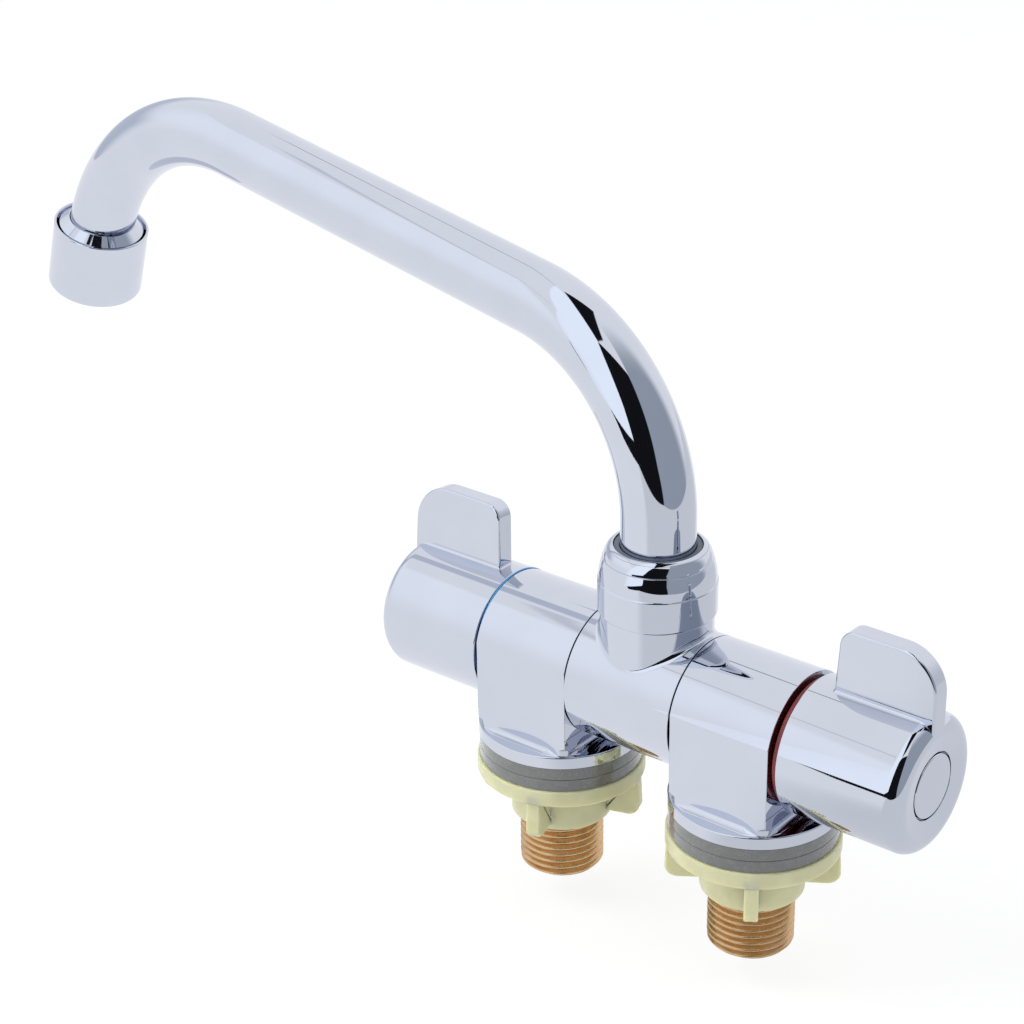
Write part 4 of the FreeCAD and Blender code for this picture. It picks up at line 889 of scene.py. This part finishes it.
def card(name, corners, near, far, start, end):
    """A flat card that glows from one colour to another, smoothly, as X goes from start to end."""
    mesh = bpy.data.meshes.new(name)
    mesh.from_pydata(corners, [], [tuple(range(len(corners)))])
    made = placed(name, mesh)
    glow = bpy.data.materials.new(name)
    glow.use_nodes = True
    nodes, link = glow.node_tree.nodes, glow.node_tree.links.new
    nodes.clear()
    place, split, step, mixed, light, output = (nodes.new(f"ShaderNode{kind}") for kind in (
        "TexCoord", "SeparateXYZ", "MapRange", "Mix", "Emission", "OutputMaterial"))
    step.interpolation_type = "SMOOTHSTEP"
    step.inputs["From Min"].default_value, step.inputs["From Max"].default_value = start, end
    mixed.data_type = "RGBA"
    mixed.inputs["A"].default_value, mixed.inputs["B"].default_value = (*near, 1), (*far, 1)
    link(place.outputs["Object"], split.inputs["Vector"])
    link(split.outputs["X"], step.inputs["Value"])
    link(step.outputs["Result"], mixed.inputs["Factor"])
    link(mixed.outputs["Result"], light.inputs["Color"])
    link(light.outputs["Emission"], output.inputs["Surface"])
    mesh.materials.append(glow)
    made.visible_camera = made.visible_diffuse = made.visible_shadow = False
    made.visible_transmission = made.visible_volume_scatter = False


table_level = SHANK_BOTTOM * MM - JUST_BELOW
# The table card glows from WHITE to the darker TABLE_SHADE towards +X. This is a painted shadow of
# the faucet on the table, which only metal mirrors.
card("white_table", [(x, y, table_level) for x, y in [
    (-2.4, -1.9), (-0.46, -1.01), (-0.19, -0.53), (0.027, -0.742), (0.392, -0.278), (0.5, 0.5),
    (1.5, 3.5), (-3, 3.5),
]], WHITE, TABLE_SHADE, -0.015, 0.035)
card("front_panel", [(x, PANEL_DISTANCE, z) for x, z in [
    (-0.345, -0.038), (-0.225, -0.008), (0.067, 0.076), (0.117, 0.246), (0.269, 1.09),
    (-0.234, 0.77), (-0.272, 0.218),
]], PANEL_PALE, BRIGHT, -0.3, -0.2)


# Lamps. One large soft box at the front left and a weaker one at the right give rubber, nylon and
# paper their soft shading. Metal mirrors the tent, so it doesn't show them.

BOX_SIZE = 0.9
for name, place, power in [("left_box", (-0.9, -0.8, 1.1), 17), ("right_box", (0.9, 0.3, 1.0), 6)]:
    lamp = bpy.data.lights.new(name, "AREA")
    lamp.shape, lamp.size, lamp.energy = "SQUARE", BOX_SIZE, power
    box = placed(name, lamp)
    box.location = place
    box.rotation_mode = "QUATERNION"
    box.rotation_quaternion = (-box.location).to_track_quat("-Z", "Y")
    box.visible_glossy = False


# Camera. It stands in front, to the right and above, and looks down on the faucet through a long
# lens.

SENSOR = 36.0
FOCAL_PIXELS = 2449.3
IMAGE_SIZE = 1024
EYE = np.array([295.04, -413.91, 308.62])
YAW, PITCH, ROLL = 2.2563, 0.4435, 0.0151
ahead = np.array([np.cos(YAW) * np.cos(PITCH), np.sin(YAW) * np.cos(PITCH), -np.sin(PITCH)])
level = np.array([np.sin(YAW), -np.cos(YAW), 0])
under = np.cross(ahead, level)
right = np.cos(ROLL) * level + np.sin(ROLL) * under
down = np.cos(ROLL) * under - np.sin(ROLL) * level
camera = placed("camera", bpy.data.cameras.new("camera"))
camera.data.sensor_width = SENSOR
camera.data.lens = FOCAL_PIXELS * SENSOR / IMAGE_SIZE
camera.data.clip_start = 0.01
pose = np.eye(4)
pose[:3, 0], pose[:3, 1], pose[:3, 2], pose[:3, 3] = right, -down, -ahead, EYE * MM
camera.matrix_world = pose.T
bpy.context.scene.camera = camera
bpy.context.scene.view_settings.view_transform = "Standard"
